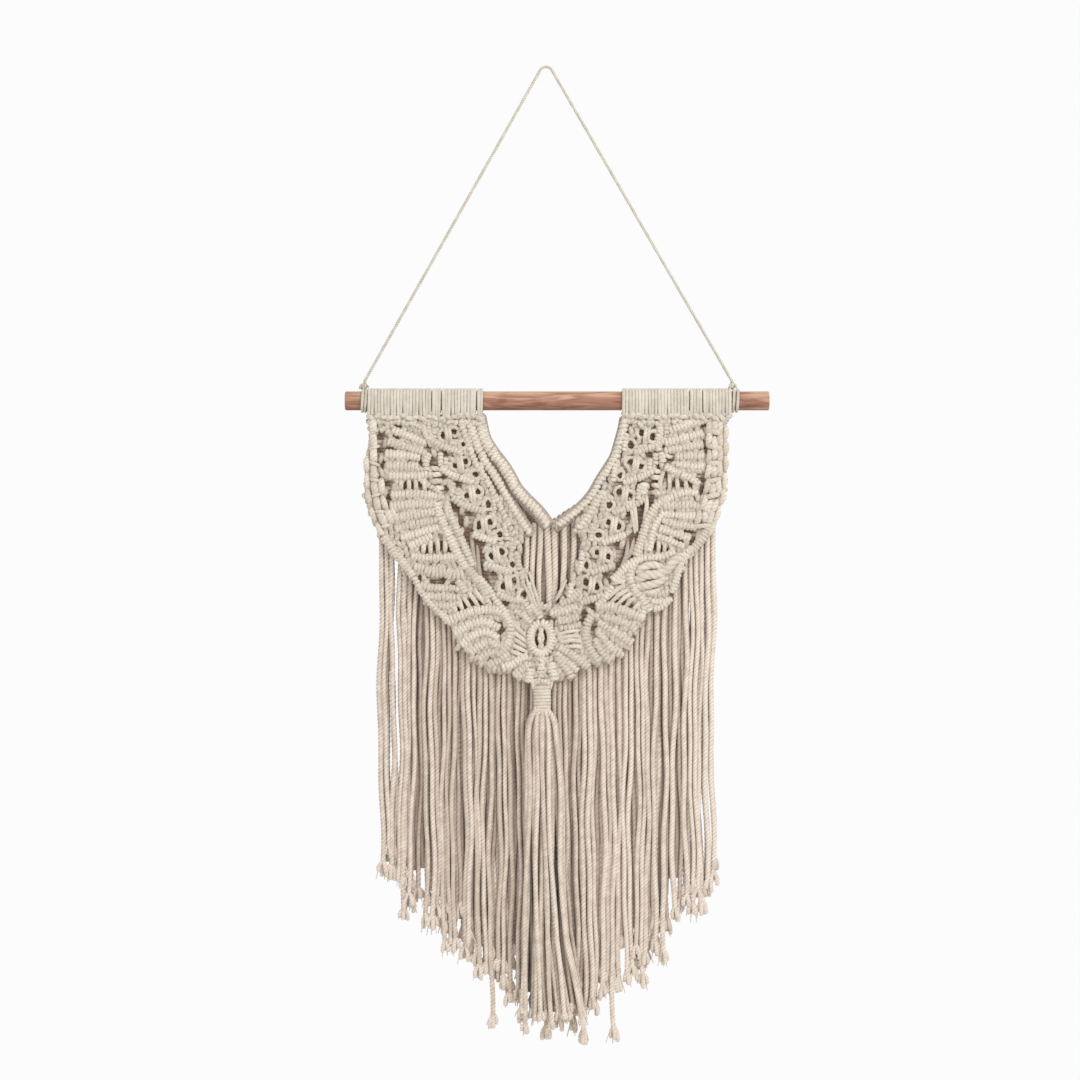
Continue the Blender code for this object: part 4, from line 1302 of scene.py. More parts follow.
@dataclass
class Panel(Knotwork):
    """One half of the knotted work: its chained edge, leaves, lattice and collar.

    A column of the edge has how far out it lies, its radius and its first stitch. The cross knot at each
    joint has its middle and half its width, and loops lie outside from one stitch on.
    """

    side: Side = Side.LEFT
    edge: tuple[Spot, ...] = ()
    outer: tuple[Spot, ...] = ()
    inner: tuple[Spot, ...] = ()
    lattice_start: Spot = (0.0, 0.0)
    lattice_step: Spot = (0.0, 0.0)
    lattice_units: int = 6
    open_from: int = 3
    head: Spot = (0.0, 0.0)
    head_step: float = 6.4
    head_drop: float = 16.2
    head_y: float = -3.6
    head_half: float = 3.1
    collars: tuple[tuple[Spot, ...], ...] = ()
    collar_halves: tuple[float, ...] = ()
    collar_pitch: float = 3.5
    collar_rope: float = 2.0
    collar_lean: float = 1.8
    collar_uneven: float = 0.15
    block: float = 12.4
    columns: tuple[tuple[float, float, int], ...] = ()
    stagger: float = 0.4
    cross: Spot = (-0.4, 3.8)
    loop: float = 5.2
    loops_from: int = 2

    def build(self, material: bpy.types.Material) -> None:
        """Makes the whole half.

        Args:
            material: The cord's finish.
        """
        name = self.side.value
        self.work = CordWork(f"knotted_panel_{name}")
        self.build_head()
        self.build_chain()
        self.build_rows()
        self.build_lattice()
        self.build_collars()
        self.build_filling(self.outer, self.inner)
        self.build_backing(self.outer, self.inner)
        self.work.finish(material, COTTON_SLOT, f"panel_{name}")

    def build_head(self) -> None:
        """The row of small knots under the heading."""
        chance = self.work.chance
        first, last = self.head
        for x in np.arange(first + 2.0, last, self.head_step):
            lean = float(chance.uniform(-2.6, 2.6))
            slide = float(chance.uniform(-0.6, 0.6))
            middle = place(x + slide, self.head_drop + float(chance.uniform(-1.0, 1.0)), self.head_y)
            half = self.head_half
            axis = np.vstack((middle + (-half, 0.0, lean), middle + (half, 0.0, -lean)))
            self.work.coil(axis, wide=3.9, deep=3.9, pitch=3.3, rope=2.0, lean=0.8, uneven=0.18)

    def build_chain(self) -> None:
        """The outer edge: stitches of upright cords end to end, and a column of loops outside them."""
        line = smooth(line_of(self.edge, self.depth), 1.0)
        along = tangents(line)
        across = np.cross(along, TOWARDS_VIEWER) * -self.side.sign
        chance = self.work.chance
        for block in range(int((len(line) - 1) / self.block)):
            start = int(block * self.block)
            middle = min(int(start + 0.5 * self.block), len(line) - 1)
            base, down, out = line[middle], along[middle], across[middle]
            for offset, radius, first in self.columns:
                if block < first:
                    continue
                lean = self.stagger * float(chance.uniform(-2.6, 2.6))
                slide = self.stagger * float(chance.uniform(-0.2, 0.2))
                path = np.array([
                    base
                    + down * (share + slide) * self.block
                    + out * (offset + lean * share)
                    + np.array((0.0, y, 0.0))
                    for share, y in STITCH
                ])
                self.puff(path, radius * float(chance.uniform(0.98, 1.12)), tight=0.5)
            stop = min(int(start + self.block), len(line) - 1)
            base, down, out = line[stop], along[stop], across[stop]
            tilt = float(chance.uniform(-0.6, 0.6))
            centre, half = self.cross
            path = np.array([
                base + (out + down * tilt) * (centre + half * reach) + np.array((0.0, y, 0.0))
                for reach, y in CROSSING
            ])
            self.puff(path, 0.42 * half * float(chance.uniform(0.85, 1.1)))
            if block < self.loops_from:
                continue
            path = np.array([
                base + down * share * self.block + out * (self.loop + bulge) + np.array((0.0, y, 0.0))
                for share, bulge, y in LOOP
            ])
            self.puff(path, float(chance.uniform(2.4, 2.8)), tight=0.5)

    def build_lattice(self) -> None:
        """The openwork: broad slanting rows, and between them holes beside a pair of upright cords."""
        x, drop = self.lattice_start
        inward = -self.side.sign
        for unit in range(self.lattice_units):
            middle_x = x + unit * self.lattice_step[0]
            middle_drop = drop + unit * self.lattice_step[1]

            def laid(*spots: Spot) -> tuple[Spot, ...]:
                """Spots of this unit, from ones measured inwards and down from its middle."""
                return tuple((middle_x + inward * a, middle_drop + b) for a, b in spots)

            narrow = unit >= self.open_from
            start = BAR_START_NARROW if narrow else BAR_START_WIDE
            self.hitch(Row(laid(start, *BAR), (3.4, 3.2), 0.3))
            for upright_row in UPRIGHTS[:1] if narrow else UPRIGHTS:
                self.hitch(Row(laid(*upright_row), (2.8, 2.8)), pairs=0.03, swell=0.15)
            for offset in PAIR_OFFSETS:
                spots = laid((offset - 1.0, -7.0), (offset, 0.0), (offset + 1.2, 7.4))
                path = line_of(spots, self.depth)
                path[:, 1] += PAIR_DEPTHS
                self.puff(path, 1.6)
            eyelets = laid(*EYELETS)
            self.holes += (*eyelets, *laid(*BARE_HOLES))
            for x_eye, drop_eye in eyelets:
                self.build_eyelet(x_eye, drop_eye)

    def build_eyelet(self, x: float, drop: float) -> None:
        """The cord round a hole.

        Args:
            x: The hole's middle.
            drop: Its drop.
        """
        chance = self.work.chance
        angles = np.linspace(0.0, math.tau, 15)
        wobble = chance.uniform(0.86, 1.14, 15)
        wobble[-1] = wobble[0]
        wide, tall = chance.uniform((3.2, 3.5), (4.2, 4.9))
        ring = np.column_stack((
            x + chance.uniform(-0.5, 0.5) + wide * wobble * np.cos(angles),
            self.depth - 0.2 + 0.7 * np.sin(2 * angles + chance.uniform(0.0, 6.28)),
            -drop + tall * wobble * np.sin(angles),
        ))
        # The ring carries a little painted shade
        self.work.rope(ring, float(chance.uniform(1.5, 1.9)), shade=0.05)

    def build_collars(self) -> None:
        """The rows of hitches that edge the neckline, each over a cord with painted shade that closes the
        gaps between them.
        """
        for spots, half in zip(self.collars, self.collar_halves):
            axis = line_of(spots, self.depth)
            self.work.coil(
                axis,
                wide=(half + 0.3, 0.8 * half),
                deep=4.2,
                pitch=self.collar_pitch,
                rope=self.collar_rope,
                lean=self.collar_lean,
                pairs=0.02,
                uneven=self.collar_uneven,
                flat=1.0,
            )
            # A cord with painted shade under each collar, which closes the gaps between them
            below = smooth(axis, 3.0)
            below[:, 1] += 2.4
            self.work.rope(below, half + 1.2, HIDDEN, shade=0.35, flat=0.3)


@dataclass
class Centre(Knotwork):
    """The ring and knots where the halves meet."""

    depth: float = -3.6
    ring: Spot = (-3.9, 184.6)
    ring_wide: float = 8.0
    ring_tall: float = 12.0
    outer: tuple[Spot, ...] = ((-30.0, 160.0), (-36.0, 200.0), (-22.0, 216.0))
    inner: tuple[Spot, ...] = ((18.0, 160.0), (36.0, 200.0), (14.0, 216.0))

    def build(self, material: bpy.types.Material) -> None:
        """Makes the ring, its knots, the slanting rows and the loose cords beside it.

        Args:
            material: The cord's finish.
        """
        self.work = CordWork("centre_ring_knots")
        angles = np.linspace(0.0, math.tau, 25)
        ring = np.column_stack((
            self.ring[0] + self.ring_wide * np.sin(angles),
            np.full(len(angles), self.depth - 1.4),
            -self.ring[1] + self.ring_tall * np.cos(angles),
        ))
        self.work.coil(ring, wide=3.9, deep=3.6, pitch=2.4, rope=1.5, lean=0.4, uneven=0.1)
        for sign in (-1.0, 1.0):
            twist = np.vstack([
                place(
                    self.ring[0] + sign * 1.3 * math.cos(1.1 * i),
                    self.ring[1] - 9 + 3.0 * i,
                    self.depth - 1.6 * math.sin(math.pi * i / 6),
                )
                for i in range(7)
            ])
            self.work.rope(smooth(twist, 1.0), 1.7)
        self.build_rows()
        self.build_filling(self.outer, self.inner)
        self.build_backing(self.outer, self.inner)
        self.work.finish(material, COTTON_SLOT, "centre_knot")


HEM_LINE: tuple[Spot, ...] = (
    (-130.0, 356.0), (-117.5, 374.0), (-94.2, 404.0), (-74.7, 421.0), (-51.4, 440.0), (-35.8, 456.0),
    (-12.5, 474.0), (10.0, 484.0), (26.5, 484.0), (42.0, 466.0), (73.2, 443.0), (89.5, 430.0),
    (104.3, 406.0), (119.9, 388.0), (132.0, 382.0),
)


TUFT_PLIES = 4
TUFT_FIBRES = 3


def add_tuft(work: CordWork, tip: np.ndarray, size: float, shade: float) -> None:
    """Frays a strand's end into its plies, which fan out, and a few curled fibres.

    Args:
        work: What gathers the cords.
        tip: The strand's end.
        size: Roughly how far they reach.
        shade: As for a rope.
    """
    share = np.linspace(0.0, 1.0, 6)
    for index in range(TUFT_PLIES + TUFT_FIBRES):
        ply = index < TUFT_PLIES
        turn = math.tau * (index / TUFT_PLIES + work.chance.uniform(-0.12, 0.12))
        spread = size * work.chance.uniform(0.12, 0.3) * (1.0 if ply else 1.6)
        reach = size * work.chance.uniform(0.5, 0.95) * (1.0 if ply else 1.2)
        out = spread * np.sin((0.62 if ply else 0.4) * math.pi * share)
        path = np.column_stack((
            tip[0] + math.cos(turn) * out,
            tip[1] + 0.7 * math.sin(turn) * out,
            tip[2] + 1.5 - reach * share,
        ))
        if ply:
            radii = work.chance.uniform(1.6, 2.0) * (0.75 + 0.3 * np.sin(0.8 * math.pi * share))
        else:
            radii = work.chance.uniform(0.5, 0.7) * (1.0 - 0.4 * share)
        work.rope(path, radii, LOCK, ALONG_DOWEL, shade, tone=1.0)


@dataclass(frozen=True)
class Curtain:
    """A row of hanging strands.

    It hangs at y, with its tips at least a rise above the hem. Strands are a pitch apart, and more where
    they hang loose. Shade is painted shade and radius is a radius, both as for a cord, spacing is that of
    a strand's points, and tufts says whether the ends are frayed.
    """

    y: float
    rise: float
    pitch: float = 4.0
    loose: float = 1.0
    shade: float = 0.0
    radius: float = 2.05
    lay: Lay = FRONT_STRAND
    spacing: float = 1.5
    tufts: bool = True


@dataclass
class Fringe:
    """The strands of one half: a front row, rows that fill the gaps behind it, and those in the V.

    A gap in the front row has its two ends. A long strand has its place and how far down it reaches.
    The painted light shift makes the strands lighter at the line's two ends where it is above 0 and darker
    where below, as the tone of a cord: painted light and shade, for light that falls more strongly on the
    right.
    """

    side: Side
    line: tuple[Spot, ...]
    back_line: tuple[Spot, ...]
    neck_line: tuple[Spot, ...] = ()
    long: tuple[Spot, ...] = ()
    # Painted shade: the rows behind the front carry it, and the lining and the rearmost back row, the
    # darkest, stand in for the shade behind the fringe, so that no gap shows through
    front: Curtain = Curtain(3.3, 0.0, loose=1.25)
    behind_front: Curtain = Curtain(5.8, 12.0, 4.0, 0.25, 0.35, 2.15, BACK_STRAND, 2.0)
    painted_shade_lining: Curtain = Curtain(8.2, 30.0, 3.9, 0.0, 0.55, 2.6, HIDDEN, 4.0, False)
    neck: Curtain = Curtain(2.2, 272.0, 5.0, 1.1, 0.0, 2.55, LIT_STRAND, 1.5, False)
    gap: Spot = (0.0, 0.0)
    painted_light_shift: Spot = (0.0, 0.0)
    back: tuple[Curtain, ...] = (
        Curtain(7.4, 22.0, 4.1, 0.3, 0.05, 2.15, BACK_STRAND, 2.0),
        Curtain(10.2, 44.0, 3.8, 0.0, 0.5, 2.7, HIDDEN, 4.0, False),
    )

    root_y: float = 0.8
    root_length: float = 9.0
    held_length: float = 60.0
    # Painted light: the strands in the V are made this much lighter in tone, against the shade that the
    # panels cast on them
    neck_painted_light: float = 1.6

    def strand_path(
        self, x: float, top: float, foot: float, y: float, drift: Spot, spacing: float
    ) -> np.ndarray:
        """One strand's line from its root to its tip, bending a little to and fro.

        Args:
            x: Where it hangs.
            top: The drop of its root.
            foot: The drop of its tip.
            y: How deep it hangs, below a root that comes out of the work's back.
            drift: How far it leans aside, and where its bends lie.
            spacing: The distance between points.

        Returns:
            Its centreline.
        """
        length = foot - top
        way = np.linspace(0.0, length, max(4, round(length / spacing)) + 1)
        loose = np.clip(way / self.held_length, 0.0, 1.0)
        lean, phase = drift
        bend = 1.3 * np.sin(way / 34.0 + phase) + 0.6 * np.sin(way / 13.0 + 2.3 * phase)
        depth = y + (self.root_y - y) * np.exp(-way / self.root_length)
        return np.column_stack((
            x + loose * (lean * (0.5 + way / 320.0) + bend),
            depth + 0.6 * loose * np.cos(way / 29.0 + 1.7 * phase),
            -(top + way),
        ))

    def hang(self, work: CordWork, line: Sequence[Spot], curtain: Curtain) -> None:
        """Hangs one row of strands from a line of knots, in ones, twos and threes.

        Args:
            work: What gathers the cords.
            line: The knots, from left to right.
            curtain: How the row hangs.
        """
        chance = work.chance
        x = line[0][0] + 1.9
        left = 0
        index = 0
        while x < line[-1][0]:
            if left == 0:
                left = int(chance.integers(1, 4))
                lean, phase = float(chance.normal(0.0, 1.2)), float(chance.uniform(0.0, 6.28))
            left -= 1
            index += 1
            own = (lean + float(chance.normal(0.0, 0.6)), phase + float(chance.normal(0.0, 0.35)))
            if curtain.loose == 0.0:
                own = (0.0, phase)
            top = drop_at(line, x) - 1.0
            uneven = 8.0 * (math.sin(2.4 * index) + 0.8 * math.sin(1.1 * index + 0.8) - 1.0)
            foot = drop_at(HEM_LINE, x) + uneven - curtain.rise + float(chance.uniform(-4.0, 4.0))
            if curtain is self.front:
                foot = max([foot, *(reach for at, reach in self.long if abs(at - x) < 2.1)])
            depth = curtain.y + 0.5 * (-1) ** index + float(chance.uniform(-0.3, 0.3))
            path = self.strand_path(x, top, foot, depth, own, curtain.spacing)
            # Painted shade near the root, where the strand comes out from under the work
            shades = curtain.shade + 0.3 * np.exp(-(path[0, 2] - path[:, 2]) / 14.0)
            radius = curtain.radius * float(chance.uniform(0.88, 1.1) if curtain.loose else 1.0)
            # Painted light and shade across the half, and painted light on the strands in the V
            painted_light_shift = float(np.interp(x, (self.line[0][0], self.line[-1][0]), self.painted_light_shift))
            tone = float(chance.uniform(-1.0, 1.0)) + (self.neck_painted_light if curtain is self.neck else painted_light_shift)
            work.rope(path, radius, curtain.lay, shade=np.clip(shades, 0.0, 1.0), tone=tone)
            if curtain.tufts:
                add_tuft(work, path[-1], float(chance.uniform(11.5, 15.0)), 0.5 * curtain.shade)
            if self.gap[0] < x < self.gap[1]:
                x = self.gap[1]
            apart = 1.8 if left == 0 else 0.15
            x += curtain.pitch + curtain.loose * apart * float(chance.uniform(0.3, 1.7))

    def build(self, material: bpy.types.Material) -> None:
        """Makes the front and the back strands.

        Args:
            material: The cord's finish.
        """
        name = self.side.value
        work = CordWork(f"front_strands_{name}")
        self.hang(work, self.line, self.front)
        work.finish(material, COTTON_SLOT, f"fringe_{name}")
        work = CordWork(f"back_strands_{name}")
        for curtain in self.back:
            self.hang(work, self.back_line, curtain)
        self.hang(work, self.line, self.behind_front)
        lined = self.line[2:] if self.side is Side.LEFT else self.line[:-2]
        self.hang(work, lined, self.painted_shade_lining)
        self.hang(work, self.neck_line, self.neck)
        work.finish(material, COTTON_SLOT, f"fringe_back_{name}")


@dataclass
class Tassel:
    """The tassel at the centre and the cord wound round its neck.

    Each layer, from the front, has its depth, its strands, how much painted shade they carry and how much
    narrower it is. Shares are of the way down, and middles and halves say where the tassel's middle lies
    there and half its width.
    """

    x: float = -3.1
    y: float = -5.2
    top: float = 218.8
    binding_top: float = 221.6
    binding_foot: float = 242.4
    foot: float = 484.0
    shares: tuple[float, ...] = (0.0, 0.025, 0.08, 0.25, 0.5, 0.75, 1.0)
    middles: tuple[float, ...] = (0.0, 0.0, 0.0, 1.6, 2.0, 3.5, 8.0)
    halves: tuple[float, ...] = (8.6, 10.6, 11.8, 12.8, 14.2, 17.0, 23.0)
    layers: tuple[tuple[float, int, float, float], ...] = (
        (-8.8, 5, 0.0, 1.2), (-6.4, 6, 0.03, 0.6), (-3.9, 8, 0.1, 0.0), (-1.4, 8, 0.3, 0.0),
    )
    carved_layers: int = 2
    tufted_layers: int = 3
    strand_radius: float = 2.0
    tuft: float = 9.0
    neck_cords: int = 7
    neck_radius: float = 1.6

    def build(self, material: bpy.types.Material, binding: bpy.types.Material) -> None:
        """Makes the strands and the binding.

        Args:
            material: The strands' finish.
            binding: The binding's finish.
        """
        work = CordWork("tassel_strands")
        chance = work.chance
        for row, (y, count, shade, inset) in enumerate(self.layers):
            carved = row < self.carved_layers
            for index in range(count):
                column = 2.0 * index / (count - 1) - 1.0
                foot = self.foot - 10.0 * abs(math.sin(1.7 * (index + 3 * row))) - 3.0 * row
                way = np.linspace(0.0, foot - self.binding_foot, 29)
                share = way / way[-1]
                phase = float(chance.uniform(0.0, 6.28))
                loose = np.clip(way / 40.0, 0.0, 1.0)
                bend = loose * (1.2 * np.sin(way / 30.0 + phase) + float(chance.normal(0.0, 0.8)))
                middle = np.interp(share, self.shares, self.middles)
                half = np.interp(share, self.shares, self.halves) - inset
                fan = np.column_stack((
                    self.x + middle + column * half + bend,
                    np.full(len(way), y) + 0.8 * np.sin(way / 25.0 + phase),
                    -(self.binding_foot + 1.0 + way),
                ))
                root = np.array([
                    (self.x + 4.6 * column, self.y + 0.3 * (y - self.y), -self.binding_foot + 5.0),
                    (self.x + 5.4 * column, self.y + 0.9 * (y - self.y), -self.binding_foot + 0.8),
                ])
                points = np.vstack((root, fan[:1] + (0.0, 0.0, -1.2), fan[1:]))
                path = smooth(points, 1.5 if carved else 2.0)
                # Painted shade: more on the deeper layers, and most just under the binding
                dark = shade + (0.05 + 0.1 * row) * np.exp(-(path[0, 2] - path[:, 2]) / 8.0)
                lay = OPEN_STRAND if carved else BACK_STRAND
                work.rope(path, self.strand_radius, lay, shade=np.clip(dark, 0.0, 1.0))
                if row < self.tufted_layers:
                    add_tuft(work, path[-1], self.tuft, 0.4 * shade)
        for index in range(self.neck_cords):
            x = (index - self.neck_cords // 2) * 2.1
            neck = np.vstack((
                place(self.x + 1.25 * x, self.top - 2.0, -5.0),
                place(self.x + x, self.binding_top + 2.0, -5.0),
            ))
            work.rope(smooth(neck, 1.2), self.neck_radius)
        work.finish(material, COTTON_SLOT, "tassel")
        work = CordWork("tassel_wrapping")
        axis = np.vstack((
            place(self.x, self.binding_top, self.y),
            place(self.x + 0.3, self.binding_foot, self.y),
        ))
        work.coil(
            axis, wide=(7.5, 7.1), deep=5.4, pitch=2.5, rope=1.4, lean=0.6, uneven=0.04, points=16
        )
        work.finish(binding, COTTON_SLOT, "tassel_binding")


LEFT_PANEL = Panel(
    side=Side.LEFT,
    edge=(
        (-134.6, 12.6), (-133.9, 30.5), (-133.9, 46.1), (-133.5, 61.6), (-132.3, 74.9), (-129.2, 86.5),
        (-123.7, 99.0), (-119.1, 109.1),
    ),
    outer=(
        (-138.5, 13.4), (-140.1, 30.5), (-143.2, 53.9), (-143.2, 77.2), (-137.0, 92.8), (-129.2, 108.3),
        (-115.2, 125.5), (-103.5, 141.0), (-94.2, 157.4), (-77.8, 172.2), (-70.8, 190.1), (-57.6, 203.3),
        (-35.8, 214.2),
    ),
    inner=(
        (-65.4, 13.4), (-55.3, 42.2), (-42.0, 67.1), (-24.9, 81.1), (-14.8, 92.8), (-12.5, 102.1),
        (-17.9, 112.2), (-17.9, 125.5), (-11.7, 147.3), (-4.7, 166.7), (-14.0, 186.2), (-20.2, 201.7),
        (-24.1, 214.2),
    ),
    rows=(
        Row(((-114.4, 14.2), (-104.3, 16.5), (-94.2, 21.9)), (3.6, 3.8)),
        Row(((-119.9, 22.7), (-110.5, 25.8), (-94.2, 32.8)), (4.2, 3.6)),
        Row(((-123.0, 31.3), (-111.3, 35.2), (-92.6, 41.4)), (4.3, 3.2)),
        Row(((-125.3, 41.4), (-111.3, 42.2), (-98.8, 43.7)), (4.4, 3.8)),
        Row(((-124.9, 50.7), (-111.3, 50.7), (-98.8, 51.5)), (4.3, 4.2)),
        Row(((-122.6, 58.5), (-106.6, 58.5), (-90.3, 57.0)), (3.9, 3.8)),
        Row(((-120.6, 73.3), (-102.7, 72.5), (-82.5, 74.1)), (3.8, 4.0)),
        Row(((-121.4, 82.7), (-103.5, 80.3), (-84.1, 80.3)), (4.6, 4.0)),
        Row(((-119.9, 91.2), (-103.5, 88.9), (-85.6, 85.8)), (4.5, 4.0)),
        Row(((-117.5, 99.8), (-102.7, 95.9), (-85.6, 92.8)), (4.1, 3.8)),
        Row(((-112.9, 106.8), (-99.6, 102.9), (-82.5, 98.2)), (3.9, 3.6)),
        Row(((-106.6, 113.0), (-97.3, 109.1), (-88.7, 104.4)), (3.8, 3.4)),
        Row(((-105.1, 120.8), (-90.3, 122.3), (-64.6, 120.8)), (3.6, 3.4)),
        Row(((-102.7, 129.4), (-95.7, 130.1), (-94.2, 130.1)), (3.8, 3.8)),
        Row(((-94.2, 131.7), (-87.2, 133.2), (-78.6, 132.5)), (5.0, 5.0), 0.8),
        Row(((-77.8, 133.2), (-70.8, 135.6), (-63.8, 134.8)), (5.2, 5.0), 0.8),
        Row(((-98.1, 143.4), (-85.6, 145.7), (-73.2, 145.7), (-66.9, 147.3)), (3.8, 3.2)),
        Row(((-92.6, 151.9), (-80.9, 152.7), (-67.7, 152.7)), (3.8, 3.2)),
        Row(((-86.4, 158.9), (-77.1, 159.7), (-66.9, 157.4)), (3.8, 3.0)),
        Row(
            (
                (-77.1, 171.4), (-65.4, 166.7), (-51.4, 162.8),
                (-35.8, 163.6), (-28.8, 172.2), (-28.0, 184.6), (-33.5, 195.5),
            ),
            (4.4, 4.0), 0.4,
        ),
        Row(((-71.6, 181.5), (-60.7, 174.5), (-49.0, 171.4), (-36.6, 176.8)), (4.4, 3.8)),
        Row(((-66.2, 190.1), (-56.0, 182.3), (-45.9, 179.9), (-36.6, 185.4)), (4.2, 3.6)),
        Row(((-59.2, 196.3), (-51.4, 190.1), (-43.6, 186.9), (-37.4, 191.6)), (4.0, 3.4)),
        Row(((-52.1, 201.7), (-45.1, 196.3), (-38.1, 195.5)), (3.8, 3.4)),
        Row(((-45.1, 206.4), (-36.6, 201.7), (-28.8, 195.5)), (3.8, 3.6)),
        Row(
            ((-126.1, 105.2), (-120.6, 113.8), (-114.4, 121.6), (-108.2, 129.4), (-102.7, 137.1)),
            (4.0, 3.8), 0.3,
        ),
        Row(((-102.7, 137.1), (-97.3, 147.3), (-90.3, 157.4), (-81.7, 165.2), (-76.3, 172.2)), (3.2, 3.2)),
        Row(((-126.1, 18.1), (-119.9, 12.6)), (3.6, 3.4)),
        Row(((-129.2, 23.5), (-121.4, 18.8)), (2.8, 2.8)),
        Row(((-90.3, 13.4), (-85.6, 21.2)), (3.4, 3.2)),
        Row(((-82.5, 12.6), (-73.2, 14.9)), (3.4, 3.4)),
        Row(((-99.6, 60.1), (-90.3, 66.3), (-81.7, 71.8)), (2.6, 2.6)),
        Row(((-91.1, 40.6), (-93.4, 47.6), (-92.6, 55.4)), (3.4, 3.2)),
        Row(((-85.6, 79.5), (-81.7, 91.2), (-76.3, 103.7), (-69.3, 117.7), (-62.3, 130.1)), (3.9, 4.2), 0.5),
        Row(((-77.1, 79.5), (-73.2, 91.2), (-67.7, 103.7), (-62.3, 116.1), (-56.8, 128.6)), (3.0, 3.6), 0.2),
        Row(((-62.3, 128.6), (-56.0, 136.4), (-49.0, 145.7), (-44.4, 155.0)), (4.4, 4.6), 0.3),
        Row(((-68.5, 139.5), (-63.8, 147.3), (-62.3, 150.4)), (3.6, 3.6)),
        Row(((-52.9, 137.1), (-45.1, 145.7), (-37.4, 157.4), (-29.6, 165.9)), (3.2, 3.2)),
    ),
    strands=(
        Strand(((-95.7, 14.9), (-94.2, 24.3), (-89.5, 35.2)), 2.3, 0.8),
        Strand(((-91.8, 18.1), (-89.5, 27.4), (-87.2, 36.7)), 1.9, 0.6),
        Strand(((-90.3, 52.3), (-82.5, 53.1)), 2.2),
        Strand(((-89.5, 57.7), (-81.7, 57.0)), 2.4),
        Strand(((-88.7, 62.4), (-80.9, 62.4)), 2.3),
        Strand(((-87.9, 67.9), (-80.2, 67.9)), 2.3),
        Strand(((-84.8, 74.1), (-78.6, 75.7)), 2.3),
        Strand(((-76.3, 64.8), (-73.2, 68.6), (-73.2, 74.9)), 2.4),
        Strand(((-76.3, 74.9), (-77.1, 85.0), (-73.2, 95.9)), 2.0, 0.3),
        Strand(((-112.9, 60.1), (-112.9, 70.2)), 2.0),
        Strand(((-107.0, 59.3), (-106.6, 70.2)), 2.0),
        Strand(((-101.6, 59.3), (-101.2, 70.2)), 2.0),
        Strand(((-95.0, 59.3), (-94.2, 70.2)), 2.2),
        Strand(((-95.0, 109.1), (-95.7, 119.2)), 2.1),
        Strand(((-90.3, 106.8), (-89.9, 120.0)), 2.0),
        Strand(((-84.8, 106.0), (-84.1, 118.5)), 2.0),
        Strand(((-78.6, 106.8), (-78.6, 118.5)), 2.1),
        Strand(((-71.6, 110.7), (-70.8, 120.0)), 2.4),
        Strand(((-72.4, 157.4), (-70.0, 165.2)), 2.0),
        Strand(((-68.5, 154.3), (-64.6, 163.6)), 1.9),
        Strand(((-65.4, 151.1), (-58.4, 162.0)), 1.9, 0.4),
        Strand(((-61.5, 147.3), (-52.1, 160.5)), 1.9, 0.4),
        Strand(((-56.8, 145.7), (-46.7, 158.9)), 2.0, 0.4),
        Strand(((-51.4, 147.3), (-42.0, 159.7)), 2.0, 0.2),
        Strand(((-58.4, 102.1), (-56.0, 123.9), (-52.1, 139.5)), 2.0, -1.2, 0.35),
        Strand(((-53.7, 112.2), (-52.1, 131.7), (-49.0, 147.3)), 2.0, -1.2, 0.4),
    ),
    holes=(
        (-128.4, 27.4), (-129.2, 38.3), (-127.6, 50.0), (-123.7, 64.0), (-122.2, 74.9), (-115.2, 18.8),
        (-116.0, 29.0), (-121.4, 37.5),
        (-98.1, 46.9), (-109.7, 66.3), (-104.3, 65.5), (-98.1, 64.8), (-91.8, 67.1), (-87.2, 67.1),
        (-88.3, 27.4), (-89.5, 46.1),
        (-87.2, 51.5), (-82.5, 53.9), (-79.4, 58.5), (-77.8, 67.9), (-70.0, 77.2), (-69.3, 83.4),
        (-66.9, 90.4), (-66.2, 95.9),
        (-73.2, 83.4), (-86.4, 91.2), (-92.6, 116.9), (-87.2, 114.6), (-81.7, 112.2), (-75.5, 116.1),
        (-66.9, 120.0), (-98.1, 137.9),
        (-87.9, 141.8), (-80.2, 139.5), (-73.2, 144.1), (-67.7, 162.8), (-63.0, 159.7), (-57.6, 155.0),
        (-51.4, 158.2), (-60.7, 100.6),
        (-59.2, 108.3), (-57.6, 116.1), (-55.3, 123.9), (-52.9, 131.7), (-50.6, 137.9), (-49.0, 143.4),
        (-59.2, 103.7), (-49.8, 120.0),
        (-51.4, 112.2), (-56.0, 101.3), (-54.5, 106.8), (-53.7, 113.0), (-52.1, 125.5), (-54.5, 117.7),
        (-50.6, 128.6), (-48.3, 134.0),
        (-46.7, 139.5), (-45.9, 145.7), (-55.3, 131.7), (-59.9, 106.8), (-56.8, 112.2), (-35.8, 176.1),
        (-35.0, 179.9),
    ),
    head=(-137.0, -50.0),
    lattice_start=(-76.0, 25.5),
    lattice_step=(9.35, 23.35),
    columns=((0.0, 3.0, 0), (-5.4, 2.7, 4), (-9.6, 2.4, 6)),
    loops_from=2,
    loop=5.4,
    collars=(
        (
            (-52.1, 12.6), (-48.3, 29.0), (-42.0, 39.8), (-34.2, 50.0), (-28.8, 58.5), (-23.3, 68.6),
            (-15.6, 77.2), (-6.2, 86.5), (0.8, 95.9),
        ),
        (
            (-60.7, 14.2), (-54.9, 30.5), (-47.5, 46.9), (-39.7, 58.5), (-30.4, 74.9), (-21.0, 90.4),
            (-12.5, 102.9),
        ),
        (
            (-66.2, 15.7), (-61.5, 30.5), (-55.3, 46.9), (-44.8, 64.0), (-37.0, 79.5), (-29.2, 95.9),
            (-24.9, 104.4),
        ),
    ),
    collar_halves=(4.8, 3.9, 3.2),
)

